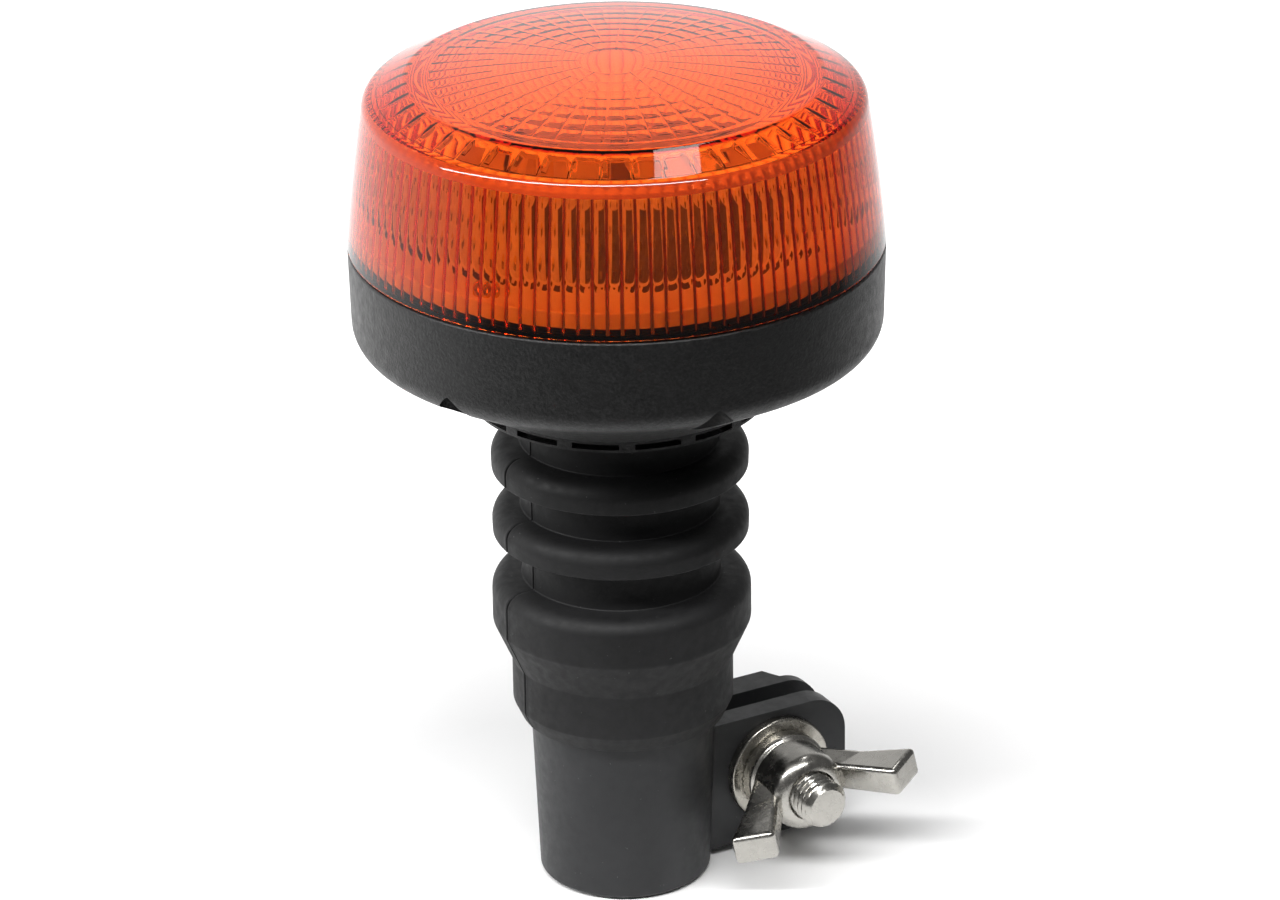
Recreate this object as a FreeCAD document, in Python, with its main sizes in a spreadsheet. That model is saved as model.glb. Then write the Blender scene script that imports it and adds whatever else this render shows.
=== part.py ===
import FreeCAD, Part
import math
import os
import Sketcher

# Driving dimensions of the warning light, in millimetres and degrees.
# Heights are measured upward from the mouth of the pole socket.
SIZES = {
    # pole socket: drafted tube, pole bore and the spigot that carries the rubber
    "pole_bore_radius": 12.1,
    "pole_bore_depth": 40,
    "pole_stop_width": 0.9,
    "contact_chamber_height": 5,
    "socket_wall": 5.2,
    "socket_draft": 1.3,
    "socket_length": 34.4,
    "mouth_edge_round": 0.8,
    "spigot_step": 1.6,
    "barb_depth": 3.5,
    "barb_rise": 21.6,
    "barb_height": 5,
    # split clamp: two ears, the slit and the rails that hold the bolt head
    "ear_gap": 5.5,
    "ear_bottom": 1.3,
    "ear_height": 28,
    "ear_margin": 16.4,
    "ear_corner_radius": 8,
    "ear_root_depth": 4,
    "front_ear_thickness": 5.05,
    "rear_ear_thickness": 2.6,
    "rail_depth": 3.9,
    "rail_margin": 6.5,
    "rail_end_slope": 2,
    "slit_rise": 2.2,
    # clamp bolt, washer and wing nut
    "bolt_standoff": 13.7,
    "bolt_height": 16.6,
    "bolt_radius": 4.95,
    "bolt_hole_gap": 0.35,
    "bolt_head_flats": 16,
    "bolt_head_thickness": 6.4,
    "bolt_head_gap": 0.3,
    "bolt_reach": 21,
    "bolt_point": 1.2,
    "washer_margin": 1.5,
    "washer_thickness": 2,
    "nut_bore_gap": 0.08,
    "nut_wall": 2.25,
    "nut_taper": 1.2,
    "nut_collar_step": 0.6,
    "nut_collar_height": 3.4,
    "nut_height": 13,
    "wing_thickness": 5,
    "wing_root_wall": 0.85,
    "wing_root_low": 3,
    "wing_root_high": 10,
    "wing_tip_outer_reach": 12,
    "wing_tip_outer_height": 18.6,
    "wing_tip_inner_reach": 4.6,
    "wing_tip_inner_height": 22.4,
    "wing_edge_round": 1.4,
    "wing_turn": 13,
    # contacts at the head of the pole bore
    "press_gap": 0.05,
    "carrier_step": 2.1,
    "carrier_length": 13,
    "carrier_flange_width": 2.6,
    "carrier_flange_thickness": 3,
    "carrier_seat_depth": 6,
    "contact_pin_radius": 2.5,
    "contact_pin_reach": 4,
    "contact_floor": 3,
    "contact_collar_width": 1.7,
    "contact_collar_height": 1.5,
    "contact_guide_step": 0.7,
    "contact_guide_length": 3.5,
    "spring_chamber_gap": 0.4,
    "spring_wire_radius": 0.4,
    "spring_guide_gap": 0.8,
    "spring_turns": 5,
    "terminal_ledge": 1.4,
    "terminal_thickness": 1.2,
    "terminal_tab_width": 4,
    "terminal_tab_thickness": 0.8,
    "terminal_tab_height": 5,
    "terminal_tab_offset": 3,
    "earth_groove_depth": 2.2,
    "earth_groove_width": 6.4,
    "earth_groove_bottom": 15,
    "earth_strip_thickness": 0.6,
    "earth_strip_width": 5,
    "earth_tab_length": 6,
    # rubber stem
    "rubber_gap": 0.1,
    "sleeve_lip": 0.6,
    "sleeve_chamfer_height": 4,
    "sleeve_wall": 5.2,
    "sleeve_height": 9.1,
    "flare_height": 8.4,
    "flare_step": 3.7,
    "shoulder_height": 10.6,
    "shoulder_round": 3.6,
    "shoulder_fall": 0.6,
    "neck_radius": 19.85,
    "flange_bulge": 5.85,
    "flange_start": 10,
    "flange_pitch": 15.3,
    "flange_root_round": 1.2,
    "neck_top_length": 18.4,
    "stem_bore_radius": 11,
    "stem_top_flange_width": 5.15,
    "stem_top_flange_thickness": 3,
    # base housing
    "head_radius": 52.5,
    "neck_hole_gap": 0.35,
    "floor_thickness": 2.8,
    "skirt_radius": 29.5,
    "skirt_wall": 2.4,
    "skirt_drop": 3.1,
    "skirt_height": 2.2,
    "window_count": 15,
    "window_sweep": 18,
    "window_turn": 16.5,
    "window_height": 1.2,
    "window_sill": 0.5,
    "base_cone_height": 12.3,
    "base_corner_round": 5,
    "base_wall_height": 18.2,
    "base_draft": 0.45,
    "base_wall": 2.7,
    "base_rim_width": 9.5,
    "base_rim_thickness": 3,
    "base_edge_round": 0.5,
    # lens fixing: screws in wells, columns in the base and pegs under the lens
    "well_count": 6,
    "well_turn": 23,
    "well_inset": 4.6,
    "well_radius": 4.2,
    "well_depth_above_corner": 7.2,
    "column_wall": 1.6,
    "peg_inset": 3.6,
    "peg_radius": 2.6,
    "peg_length": 6.3,
    "peg_gap": 0.2,
    "lens_screw_radius": 1.5,
    "lens_screw_head_radius": 2.7,
    "lens_screw_head_height": 2,
    "lens_screw_tip_gap": 2,
    "screw_hole_gap": 0.2,
    # lens and its seal
    "seal_thickness": 0.5,
    "seal_inset": 0.5,
    "seal_width": 2.8,
    "lens_lean": 3.8,
    "lens_rim_height": 29.8,
    "lens_side_curve": 410,
    "lens_wall": 2.6,
    "lens_chamfer_width": 8.1,
    "lens_chamfer_height": 3.8,
    "lens_crown": 3.5,
    "lens_top_thickness": 2.4,
    "lens_rim_round": 3,
    "flute_count": 112,
    "flute_cutter_radius": 1.95,
    "flute_depth": 0.45,
    "flute_foot": 1.5,
    "flute_top_margin": 2.9,
    # deck, reflector, board and light emitters
    "deck_gap": 1.3,
    "deck_rise": 3.8,
    "deck_foot_gap": 0.1,
    "deck_wall": 1.7,
    "deck_plate": 1.4,
    "deck_shelf": 12,
    "board_thickness": 1.6,
    "board_gap": 0.3,
    "board_ledge": 5,
    "ledge_thickness": 1.2,
    "reflector_overlap": 1.1,
    "reflector_edge": 0.3,
    "reflector_thickness": 0.8,
    "post_count": 3,
    "post_turn": 90.1,
    "post_inset": 3.6,
    "post_radius": 1.8,
    "post_hole_depth": 5.2,
    "deck_screw_radius": 1.2,
    "deck_screw_head_radius": 2.8,
    "deck_screw_head_height": 1.6,
    "deck_screw_length": 6.6,
    "emitter_inset": 7.3,
    "emitter_count": 12,
    "inner_emitter_ring_radius": 15,
    "inner_emitter_count": 6,
    "emitter_width": 3.5,
    "emitter_height": 1.6,
    # driver parts under the board and the two wires
    "inductor_radius": 6,
    "inductor_groove": 1.6,
    "inductor_cheek": 1.4,
    "inductor_height": 8,
    "inductor_offset": 18,
    "capacitor_radius": 4,
    "capacitor_height": 11,
    "capacitor_offset": 17,
    "capacitor_gap": 1,
    "chip_length": 6,
    "chip_width": 5,
    "chip_height": 1.7,
    "chip_offset": 15,
    "connector_length": 18,
    "connector_width": 8,
    "connector_height": 8.5,
    "wire_radius": 0.9,
    "wire_spacing": 11,
    "wire_end_length": 8,
    # plate that clamps the rubber's top flange
    "plate_lip": 2,
    "plate_margin": 3.4,
    "plate_thickness": 1.5,
    "plate_screw_count": 3,
    "plate_screw_gap": 1,
    "plate_screw_radius": 1.2,
    "plate_screw_head_radius": 2.6,
    "plate_screw_head_height": 1.8,
    "plate_screw_length": 6,
    "plate_boss_radius": 2.6,
    "plate_boss_hole_depth": 5,
}

doc = FreeCAD.newDocument("warning_light")
sheet = doc.addObject("Spreadsheet::Sheet", "Sizes")
for row, (alias, number) in enumerate(SIZES.items(), start=1):
    sheet.set(f"A{row}", alias)
    sheet.set(f"B{row}", str(number))
    sheet.setAlias(f"B{row}", alias)
doc.recompute()


class Length:
    """A size with its number and the sheet expression that it comes from."""

    def __init__(self, value, text):
        self.value = value
        self.text = text

    def joined(self, other, sign, value):
        return Length(value, f"({self.text} {sign} {length(other).text})")

    def __add__(self, other):
        return self.joined(other, "+", self.value + length(other).value)

    def __sub__(self, other):
        return self.joined(other, "-", self.value - length(other).value)

    def __mul__(self, other):
        return self.joined(other, "*", self.value * length(other).value)

    def __truediv__(self, other):
        return self.joined(other, "/", self.value / length(other).value)

    def __neg__(self):
        return Length(-self.value, f"(-1 * {self.text})")


def length(item):
    """Take a plain number as a Length."""
    if isinstance(item, Length):
        return item
    return Length(float(item), str(float(item)))


class Sheet:
    """Give each named size of the sheet as a Length."""

    def __getattr__(self, alias):
        return Length(float(sheet.get(alias)), f"Sizes.{alias}")


d = Sheet()
ZERO = length(0)


def cosine(angle):
    return Length(math.cos(math.radians(angle.value)), f"cos({angle.text})")


def root(square):
    return Length(math.sqrt(square.value), f"sqrt({square.text})")


def sine(angle):
    return Length(math.sin(math.radians(angle.value)), f"sin({angle.text})")


def arcsine(share):
    return Length(math.degrees(math.asin(share.value)), f"asin({share.text})")


def bind(item, prop, size):
    """Tie a property of a document object to the sheet."""
    item.setExpression(prop, length(size).text)


def origin_part(body, role):
    return next(part for part in body.Origin.OriginFeatures if part.Role == role)


def new_body(name, spot=None):
    """Start a piece, at a spot (x, y, z) of its own where one is given."""
    body = doc.addObject("PartDesign::Body", name)
    for axis, size in zip("xyz", spot or ()):
        bind(body, f"Placement.Base.{axis}", size)
    return body


def sketch_on(body, name, role="XZ_Plane", lift=None, swing=None):
    """Put a sketch on an origin plane, lifted along its normal or swung about its upright axis."""
    sketch = body.newObject("Sketcher::SketchObject", name)
    sketch.AttachmentSupport = (origin_part(body, role), [""])
    sketch.MapMode = "FlatFace"
    if lift is not None:
        bind(sketch, "AttachmentOffset.Base.z", lift)
    if swing is not None:
        sketch.AttachmentOffset = FreeCAD.Placement(
            FreeCAD.Vector(), FreeCAD.Rotation(FreeCAD.Vector(0, 1, 0), swing.value)
        )
        bind(sketch, "AttachmentOffset.Rotation.Angle", swing)
    return sketch


def pin(sketch, edge, end, across, up=None):
    """Fix a point of a sketch at sizes measured from the sketch's origin."""
    axes = [("DistanceX", across, -2)]
    if up is not None:
        axes.append(("DistanceY", up, -1))
    for kind, size, axis in axes:
        if abs(size.value) < 1e-9:
            sketch.addConstraint(Sketcher.Constraint("PointOnObject", edge, end, axis))
            continue
        index = sketch.addConstraint(Sketcher.Constraint(kind, -1, 1, edge, end, size.value))
        bind(sketch, f"Constraints[{index}]", size)


def arc_centre(start, end, radius, sense):
    """Centre of the arc of this radius that turns by sense from start to end."""
    chord = end - start
    middle = (start + end) * 0.5
    left = FreeCAD.Vector(-chord.y, chord.x, 0).normalize()
    rise = math.sqrt(max(radius**2 - chord.Length**2 / 4, 0))
    return middle + left * (rise * sense)


def add_arc(sketch, start, end, centre, sense):
    """Add an arc and give its edge with the point numbers of its two ends, in the order drawn."""
    first, last = (start, end) if sense > 0 else (end, start)
    from_angle = math.atan2(first.y - centre.y, first.x - centre.x)
    to_angle = math.atan2(last.y - centre.y, last.x - centre.x)
    ring = Part.Circle(centre, FreeCAD.Vector(0, 0, 1), (start - centre).Length)
    edge = sketch.addGeometry(Part.ArcOfCircle(ring, from_angle, to_angle), False)
    return (edge, 1, 2) if sense > 0 else (edge, 2, 1)


def add_edge(sketch, start, end, arc):
    """Add the straight or curved edge that leads from one corner to the next."""
    if arc is None:
        return (sketch.addGeometry(Part.LineSegment(start, end), False), 1, 2)
    sense = arc[-1]
    if len(arc) == 2:
        centre = arc_centre(start, end, length(arc[0]).value, sense)
    else:
        centre = FreeCAD.Vector(length(arc[0]).value, length(arc[1]).value, 0)
    drawn = add_arc(sketch, start, end, centre, sense)
    if len(arc) == 2:
        size_arc(sketch, drawn[0], length(arc[0]))
    else:
        pin(sketch, drawn[0], 3, length(arc[0]))
    return drawn


def size_arc(sketch, edge, radius):
    index = sketch.addConstraint(Sketcher.Constraint("Radius", edge, radius.value))
    bind(sketch, f"Constraints[{index}]", radius)


def corner_arc(before, corner, after, radius):
    """Start, end and sense of the arc that rounds a corner between two straight edges."""
    back = (before - corner).normalize()
    on = (after - corner).normalize()
    turn = on.cross(back).z
    reach = radius * (1 + back.dot(on)) / abs(turn)
    return corner + back * reach, corner + on * reach, math.copysign(1, turn)


def outline(sketch, corners, closed=True):
    """Draw an outline. A corner is (across, up), or has a third item: the radius that rounds it, or
    an arc that leads to the next corner. An arc is (radius, sense) or (centre across, centre up,
    sense), where sense is 1 anticlockwise and -1 clockwise."""
    spots = [FreeCAD.Vector(length(c[0]).value, length(c[1]).value, 0) for c in corners]
    extras = [c[2] if len(c) == 3 else None for c in corners]
    starts, ends, roundings = list(spots), list(spots), {}
    for index, extra in enumerate(extras):
        if isinstance(extra, Length):
            after = spots[(index + 1) % len(spots)]
            rounding = corner_arc(spots[index - 1], spots[index], after, extra.value)
            ends[index], starts[index], sense = roundings[index] = rounding
    edges = []
    for index in range(len(corners) if closed else len(corners) - 1):
        arc = extras[index] if isinstance(extras[index], tuple) else None
        edges.append(add_edge(sketch, starts[index], ends[(index + 1) % len(spots)], arc))
    for index, (edge, begin, finish) in enumerate(edges):
        across, up = length(corners[index][0]), length(corners[index][1])
        before = edges[index - 1]
        if index in roundings:
            start, end, sense = roundings[index]
            centre = arc_centre(start, end, extras[index].value, sense)
            arc, arc_begin, arc_finish = add_arc(sketch, start, end, centre, sense)
            point = sketch.addGeometry(Part.Point(spots[index]), True)
            pin(sketch, point, 1, across, up)
            sketch.addConstraint(Sketcher.Constraint("PointOnObject", point, 1, before[0]))
            sketch.addConstraint(Sketcher.Constraint("PointOnObject", point, 1, edge))
            sketch.addConstraint(Sketcher.Constraint("Tangent", before[0], before[2], arc, arc_begin))
            sketch.addConstraint(Sketcher.Constraint("Tangent", arc, arc_finish, edge, begin))
            size_arc(sketch, arc, extras[index])
            continue
        pin(sketch, edge, begin, across, up)
        if closed or index > 0:
            sketch.addConstraint(Sketcher.Constraint("Coincident", before[0], before[2], edge, begin))
    if not closed:
        pin(sketch, edge, finish, length(corners[-1][0]), length(corners[-1][1]))


def box_outline(sketch, low_across, low_up, high_across, high_up):
    outline(
        sketch,
        [(low_across, low_up), (high_across, low_up), (high_across, high_up), (low_across, high_up)],
    )


def circle(sketch, across, up, radius):
    """Draw a circle at a pinned centre."""
    across, up = length(across), length(up)
    centre = FreeCAD.Vector(across.value, up.value, 0)
    ring = Part.Circle(centre, FreeCAD.Vector(0, 0, 1), radius.value)
    edge = sketch.addGeometry(ring, False)
    size_arc(sketch, edge, radius)
    pin(sketch, edge, 3, across, up)


def turned(body, sketch, kind="Revolution", sweep=None, axis="V_Axis"):
    """Turn a profile about its sketch's upright axis, or about a line drawn in it."""
    feature = body.newObject(f"PartDesign::{kind}", f"{sketch.Label}_turned")
    feature.Profile = sketch
    feature.ReferenceAxis = (sketch, [axis])
    feature.Angle = 360
    if sweep is not None:
        feature.Midplane = True
        bind(feature, "Angle", sweep)
    body.Tip = feature
    return feature


def raised(body, sketch, size, kind="Pad", back=False, both=False):
    """Pad or pocket a sketch by a size, forward, back or evenly to both sides."""
    feature = body.newObject(f"PartDesign::{kind}", f"{sketch.Label}_{kind.lower()}")
    feature.Profile = sketch
    feature.Reversed = back
    feature.Midplane = both
    bind(feature, "Length", size)
    body.Tip = feature
    return feature


def around(body, features, count, axis="Z_Axis"):
    """Repeat features evenly round an axis of the piece."""
    pattern = body.newObject("PartDesign::PolarPattern", f"{features[0].Label}_round")
    pattern.Originals = features
    pattern.Axis = (origin_part(body, axis), [""])
    pattern.Angle = 360
    bind(pattern, "Occurrences", count)
    body.Tip = pattern
    return pattern


def screw_profile(sketch, offset, seat, head_radius, head_height, shank_radius, shank_length, sense):
    """Half outline of a screw on an upright line at offset, with its head under (-1) or over (1) seat."""
    head_end = seat + head_height * sense
    tip = seat - shank_length * sense
    outline(
        sketch,
        [
            (offset, head_end),
            (offset + head_radius, head_end),
            (offset + head_radius, seat),
            (offset + shank_radius, seat),
            (offset + shank_radius, tip),
            (offset, tip),
        ],
    )
    middle = FreeCAD.Vector(offset.value, 0, 0)
    line = sketch.addGeometry(Part.LineSegment(middle, middle + FreeCAD.Vector(0, 1, 0)), True)
    sketch.addConstraint(Sketcher.Constraint("Vertical", line))
    pin(sketch, line, 1, offset, ZERO)


def ring_of_screws(name, turn, count, *profile):
    """A set of like screws on a circle, as separate solids of one piece."""
    body = new_body(name)
    body.AllowCompound = True
    sketch = sketch_on(body, f"{name}_profile", swing=turn)
    screw_profile(sketch, *profile)
    around(body, [turned(body, sketch, axis="Axis0")], count)
    return body


# Radii of the socket, its contacts and the clamp, outward from the pole bore and the bolt
socket_mouth_radius = d.pole_bore_radius + d.socket_wall
socket_shoulder_radius = socket_mouth_radius + d.socket_draft
spigot_radius = socket_shoulder_radius - d.spigot_step
barb_radius = spigot_radius + d.barb_depth
contact_chamber_radius = d.pole_bore_radius - d.pole_stop_width
carrier_radius = d.pole_bore_radius - d.carrier_step
carrier_flange_radius = carrier_radius + d.carrier_flange_width
contact_collar_radius = d.contact_pin_radius + d.contact_collar_width
contact_guide_radius = d.contact_pin_radius - d.contact_guide_step
spring_chamber_radius = contact_collar_radius + d.spring_chamber_gap
spring_coil_radius = contact_guide_radius + d.spring_guide_gap + d.spring_wire_radius
terminal_radius = spring_chamber_radius + d.terminal_ledge
bolt_hole_radius = d.bolt_radius + d.bolt_hole_gap
nut_hub_top_radius = d.bolt_radius + d.nut_wall
nut_hub_radius = nut_hub_top_radius + d.nut_taper
nut_collar_radius = nut_hub_radius + d.nut_collar_step
wing_root_radius = d.bolt_radius + d.wing_root_wall
washer_radius = nut_collar_radius + d.washer_margin

# Radii of the rubber, outward from the spigot and the neck
sleeve_foot_radius = socket_shoulder_radius + d.sleeve_lip
sleeve_radius = spigot_radius + d.sleeve_wall
shoulder_radius = sleeve_radius + d.flare_step
stem_top_flange_radius = d.neck_radius + d.stem_top_flange_width
plate_inner_radius = d.stem_bore_radius + d.plate_lip
plate_screw_ring = stem_top_flange_radius + d.plate_screw_gap + d.plate_boss_radius
plate_outer_radius = plate_screw_ring + d.plate_margin

# Radii of the head, inward from the line where base and lens meet
base_corner_radius = d.head_radius - d.base_draft
base_rim_inner_radius = d.head_radius - d.base_rim_width
well_ring = d.head_radius - d.well_inset
peg_ring = d.head_radius - d.peg_inset
seal_outer_radius = d.head_radius - d.seal_inset
seal_inner_radius = seal_outer_radius - d.seal_width
lens_rim_radius = d.head_radius - d.lens_lean
lens_plateau_radius = lens_rim_radius - d.lens_chamfer_width
deck_radius = d.head_radius - d.lens_wall - d.deck_gap
post_ring = deck_radius - d.post_inset
reflector_outer_radius = deck_radius - d.reflector_edge
board_recess_radius = deck_radius - d.deck_shelf
board_radius = board_recess_radius - d.board_gap
reflector_inner_radius = board_radius - d.reflector_overlap
emitter_ring = board_radius - d.emitter_inset

# Levels up the object, each from the one below
rubber_end = d.socket_length
barb_low = rubber_end + d.barb_rise
barb_high = barb_low + d.barb_height
carrier_foot = d.pole_bore_depth + d.contact_chamber_height
carrier_seat = carrier_foot + d.carrier_length
spigot_top = carrier_seat + d.carrier_seat_depth
rubber_foot = rubber_end + d.rubber_gap
sleeve_low = rubber_foot + d.sleeve_chamfer_height
sleeve_high = sleeve_low + d.sleeve_height
flare_high = sleeve_high + d.flare_height
shoulder_high = flare_high + d.shoulder_height
lower_flange = shoulder_high + d.flange_start
upper_flange = lower_flange + d.flange_pitch
floor_top = upper_flange + d.neck_top_length
floor_low = floor_top - d.floor_thickness
skirt_low = floor_low - d.skirt_drop
cone_low = skirt_low + d.skirt_height
cone_high = cone_low + d.base_cone_height
base_top = cone_high + d.base_wall_height
lens_foot = base_top + d.seal_thickness
deck_top = lens_foot + d.deck_rise
plate_low = floor_top + d.stem_top_flange_thickness
plate_top = plate_low + d.plate_thickness
board_low = deck_top - d.board_thickness

# Distances along the clamp's ears and out from its slit
bolt_offset = socket_mouth_radius + d.bolt_standoff
ear_reach = bolt_offset + d.ear_margin
rail_reach = bolt_offset + d.rail_margin
front_face = d.ear_gap / 2 + d.front_ear_thickness
rear_face = d.ear_gap / 2 + d.rear_ear_thickness
rail_face = rear_face + d.rail_depth
ear_top = d.ear_bottom + d.ear_height
ear_root = socket_mouth_radius - d.ear_root_depth
slit_height = ear_top + d.slit_rise


def pole_socket():
    """Moulded tube with the pole bore, a barbed spigot for the rubber and a split clamp with two ears."""
    body = new_body("pole_socket")
    tube = sketch_on(body, "socket_tube")
    outline(
        tube,
        [
            (d.pole_bore_radius, ZERO),
            (socket_mouth_radius, ZERO, d.mouth_edge_round),
            (socket_shoulder_radius, rubber_end),
            (spigot_radius, rubber_end),
            (spigot_radius, barb_low),
            (barb_radius, barb_low),
            (spigot_radius, barb_high),
            (spigot_radius, spigot_top),
            (carrier_flange_radius + d.press_gap, spigot_top),
            (carrier_flange_radius + d.press_gap, carrier_seat),
            (carrier_radius, carrier_seat),
            (carrier_radius, carrier_foot),
            (contact_chamber_radius, carrier_foot),
            (contact_chamber_radius, d.pole_bore_depth),
            (d.pole_bore_radius, d.pole_bore_depth),
        ],
    )
    turned(body, tube)
    ear = [
        (ear_root, d.ear_bottom),
        (ear_reach, d.ear_bottom, d.ear_corner_radius),
        (ear_reach, ear_top, d.ear_corner_radius),
        (ear_root, ear_top),
    ]
    front = sketch_on(body, "front_ear", lift=d.ear_gap / 2)
    outline(front, ear)
    raised(body, front, d.front_ear_thickness)
    rear = sketch_on(body, "rear_ear", lift=-(d.ear_gap / 2))
    outline(rear, ear)
    raised(body, rear, d.rear_ear_thickness, back=True)
    head_room = d.bolt_head_flats / 2 + d.bolt_head_gap
    rails = (
        ("upper_rail", ear_top, ear_top - d.bolt_height - head_room, True),
        ("lower_rail", d.ear_bottom, d.bolt_height - head_room - d.ear_bottom, False),
    )
    for name, level, height, downward in rails:
        rail = sketch_on(body, name, "XY_Plane", lift=level)
        outline(
            rail,
            [
                (ear_root, rear_face),
                (rail_reach + d.rail_end_slope, rear_face),
                (rail_reach, rail_face),
                (ear_root, rail_face),
            ],
        )
        raised(body, rail, height, back=downward)
    slit = sketch_on(body, "slit")
    box_outline(slit, ZERO, -d.ear_bottom, ear_reach + d.ear_gap, slit_height)
    raised(body, slit, d.ear_gap, "Pocket", both=True)
    hole = sketch_on(body, "bolt_hole")
    circle(hole, bolt_offset, d.bolt_height, bolt_hole_radius)
    raised(body, hole, rail_face * 4, "Pocket", both=True)
    groove = sketch_on(body, "earth_groove")
    box_outline(
        groove,
        -(d.pole_bore_radius + d.earth_groove_depth),
        d.earth_groove_bottom,
        -(carrier_radius - d.earth_strip_thickness),
        spigot_top + d.earth_groove_depth,
    )
    raised(body, groove, d.earth_groove_width, "Pocket", both=True)
    return body


contact_floor_top = carrier_foot + d.contact_floor
carrier_top = carrier_seat + d.carrier_flange_thickness
terminal_seat = carrier_top - d.terminal_thickness
contact_collar_top = contact_floor_top + d.contact_collar_height


def contact_carrier():
    """Insulating insert: a guide hole for the plunger, a spring chamber and a seat for the terminal."""
    body = new_body("contact_carrier")
    profile = sketch_on(body, "carrier_profile")
    guide = d.contact_pin_radius + d.press_gap
    outline(
        profile,
        [
            (guide, carrier_foot),
            (carrier_radius - d.press_gap, carrier_foot),
            (carrier_radius - d.press_gap, carrier_seat),
            (carrier_flange_radius, carrier_seat),
            (carrier_flange_radius, carrier_top),
            (terminal_radius + d.press_gap, carrier_top),
            (terminal_radius + d.press_gap, terminal_seat),
            (spring_chamber_radius, terminal_seat),
            (spring_chamber_radius, contact_floor_top),
            (guide, contact_floor_top),
        ],
    )
    turned(body, profile)
    return body


def centre_contact():
    """Plunger with a round nose, a stop collar and a guide for the spring."""
    body = new_body("centre_contact")
    profile = sketch_on(body, "plunger_profile")
    nose = carrier_foot - d.contact_pin_reach
    nose_centre = nose + d.contact_pin_radius
    guide_top = contact_collar_top + d.contact_guide_length
    outline(
        profile,
        [
            (ZERO, nose, (ZERO, nose_centre, 1)),
            (d.contact_pin_radius, nose_centre),
            (d.contact_pin_radius, contact_floor_top),
            (contact_collar_radius, contact_floor_top),
            (contact_collar_radius, contact_collar_top),
            (contact_guide_radius, contact_collar_top),
            (contact_guide_radius, guide_top),
            (ZERO, guide_top),
        ],
    )
    turned(body, profile)
    return body


def contact_spring():
    """Coil spring between the plunger's collar and the terminal."""
    body = new_body("contact_spring")
    wire = sketch_on(body, "spring_wire")
    first_coil = contact_collar_top + d.spring_wire_radius
    rise = terminal_seat - contact_collar_top - d.spring_wire_radius * 2
    half = d.spring_wire_radius
    box_outline(
        wire,
        spring_coil_radius - half,
        first_coil - half,
        spring_coil_radius + half,
        first_coil + half,
    )
    coil = body.newObject("PartDesign::AdditiveHelix", "spring_coil")
    coil.Profile = wire
    coil.ReferenceAxis = (wire, ["V_Axis"])
    coil.Mode = "height-turns-angle"
    bind(coil, "Height", rise)
    bind(coil, "Turns", d.spring_turns)
    body.Tip = coil
    return body


def live_terminal():
    """Disc behind the spring with an upright solder tab."""
    body = new_body("live_terminal")
    disc = sketch_on(body, "terminal_disc", "XY_Plane", lift=terminal_seat)
    circle(disc, ZERO, ZERO, terminal_radius)
    raised(body, disc, d.terminal_thickness)
    tab = sketch_on(body, "terminal_tab", "XY_Plane", lift=carrier_top)
    half_tab = d.terminal_tab_width / 2
    box_outline(
        tab,
        d.terminal_tab_offset - d.terminal_tab_thickness,
        -half_tab,
        d.terminal_tab_offset,
        half_tab,
    )
    raised(body, tab, d.terminal_tab_height)
    return body


strip_outer = d.pole_bore_radius + d.earth_groove_depth * 0.6
strip_inner = strip_outer - d.earth_strip_thickness
strip_top = carrier_top + d.earth_strip_thickness
tab_end = strip_outer - d.earth_tab_length


def earth_contact():
    """Strip that lies in the bore's groove, with its head bent over the carrier."""
    body = new_body("earth_contact")
    profile = sketch_on(body, "strip_profile")
    foot = d.earth_groove_bottom + d.earth_strip_thickness
    outline(
        profile,
        [
            (-strip_outer, foot),
            (-strip_inner, foot),
            (-strip_inner, carrier_top),
            (-tab_end, carrier_top),
            (-tab_end, strip_top),
            (-strip_outer, strip_top),
        ],
    )
    raised(body, profile, d.earth_strip_width, both=True)
    return body


def clamp_bolt():
    """Hexagon bolt from the rear rails through both ears, with a chamfered point."""
    body = new_body("clamp_bolt", (bolt_offset, rear_face, d.bolt_height))
    head = sketch_on(body, "bolt_head")
    flat = d.bolt_head_flats / 2
    corner = d.bolt_head_flats / math.sqrt(3)
    hexagon = [
        (corner, ZERO),
        (corner / 2, flat),
        (-(corner / 2), flat),
        (-corner, ZERO),
        (-(corner / 2), -flat),
        (corner / 2, -flat),
    ]
    outline(head, hexagon)
    raised(body, head, d.bolt_head_thickness, back=True)
    shank = sketch_on(body, "bolt_shank")
    circle(shank, ZERO, ZERO, d.bolt_radius)
    rod = raised(body, shank, rear_face + front_face + d.bolt_reach)
    doc.recompute()
    end = min(rod.Shape.Edges, key=lambda edge: edge.CenterOfMass.y)
    name = next(f"Edge{n}" for n, e in enumerate(rod.Shape.Edges, start=1) if e.isSame(end))
    point = body.newObject("PartDesign::Chamfer", "bolt_point")
    point.Base = (rod, [name])
    bind(point, "Size", d.bolt_point)
    body.Tip = point
    return body


def clamp_washer():
    """Plain washer between the front ear and the wing nut."""
    body = new_body("clamp_washer", (bolt_offset, -front_face, d.bolt_height))
    ring = sketch_on(body, "washer_ring")
    circle(ring, ZERO, ZERO, washer_radius)
    circle(ring, ZERO, ZERO, bolt_hole_radius)
    raised(body, ring, d.washer_thickness)
    return body


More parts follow.
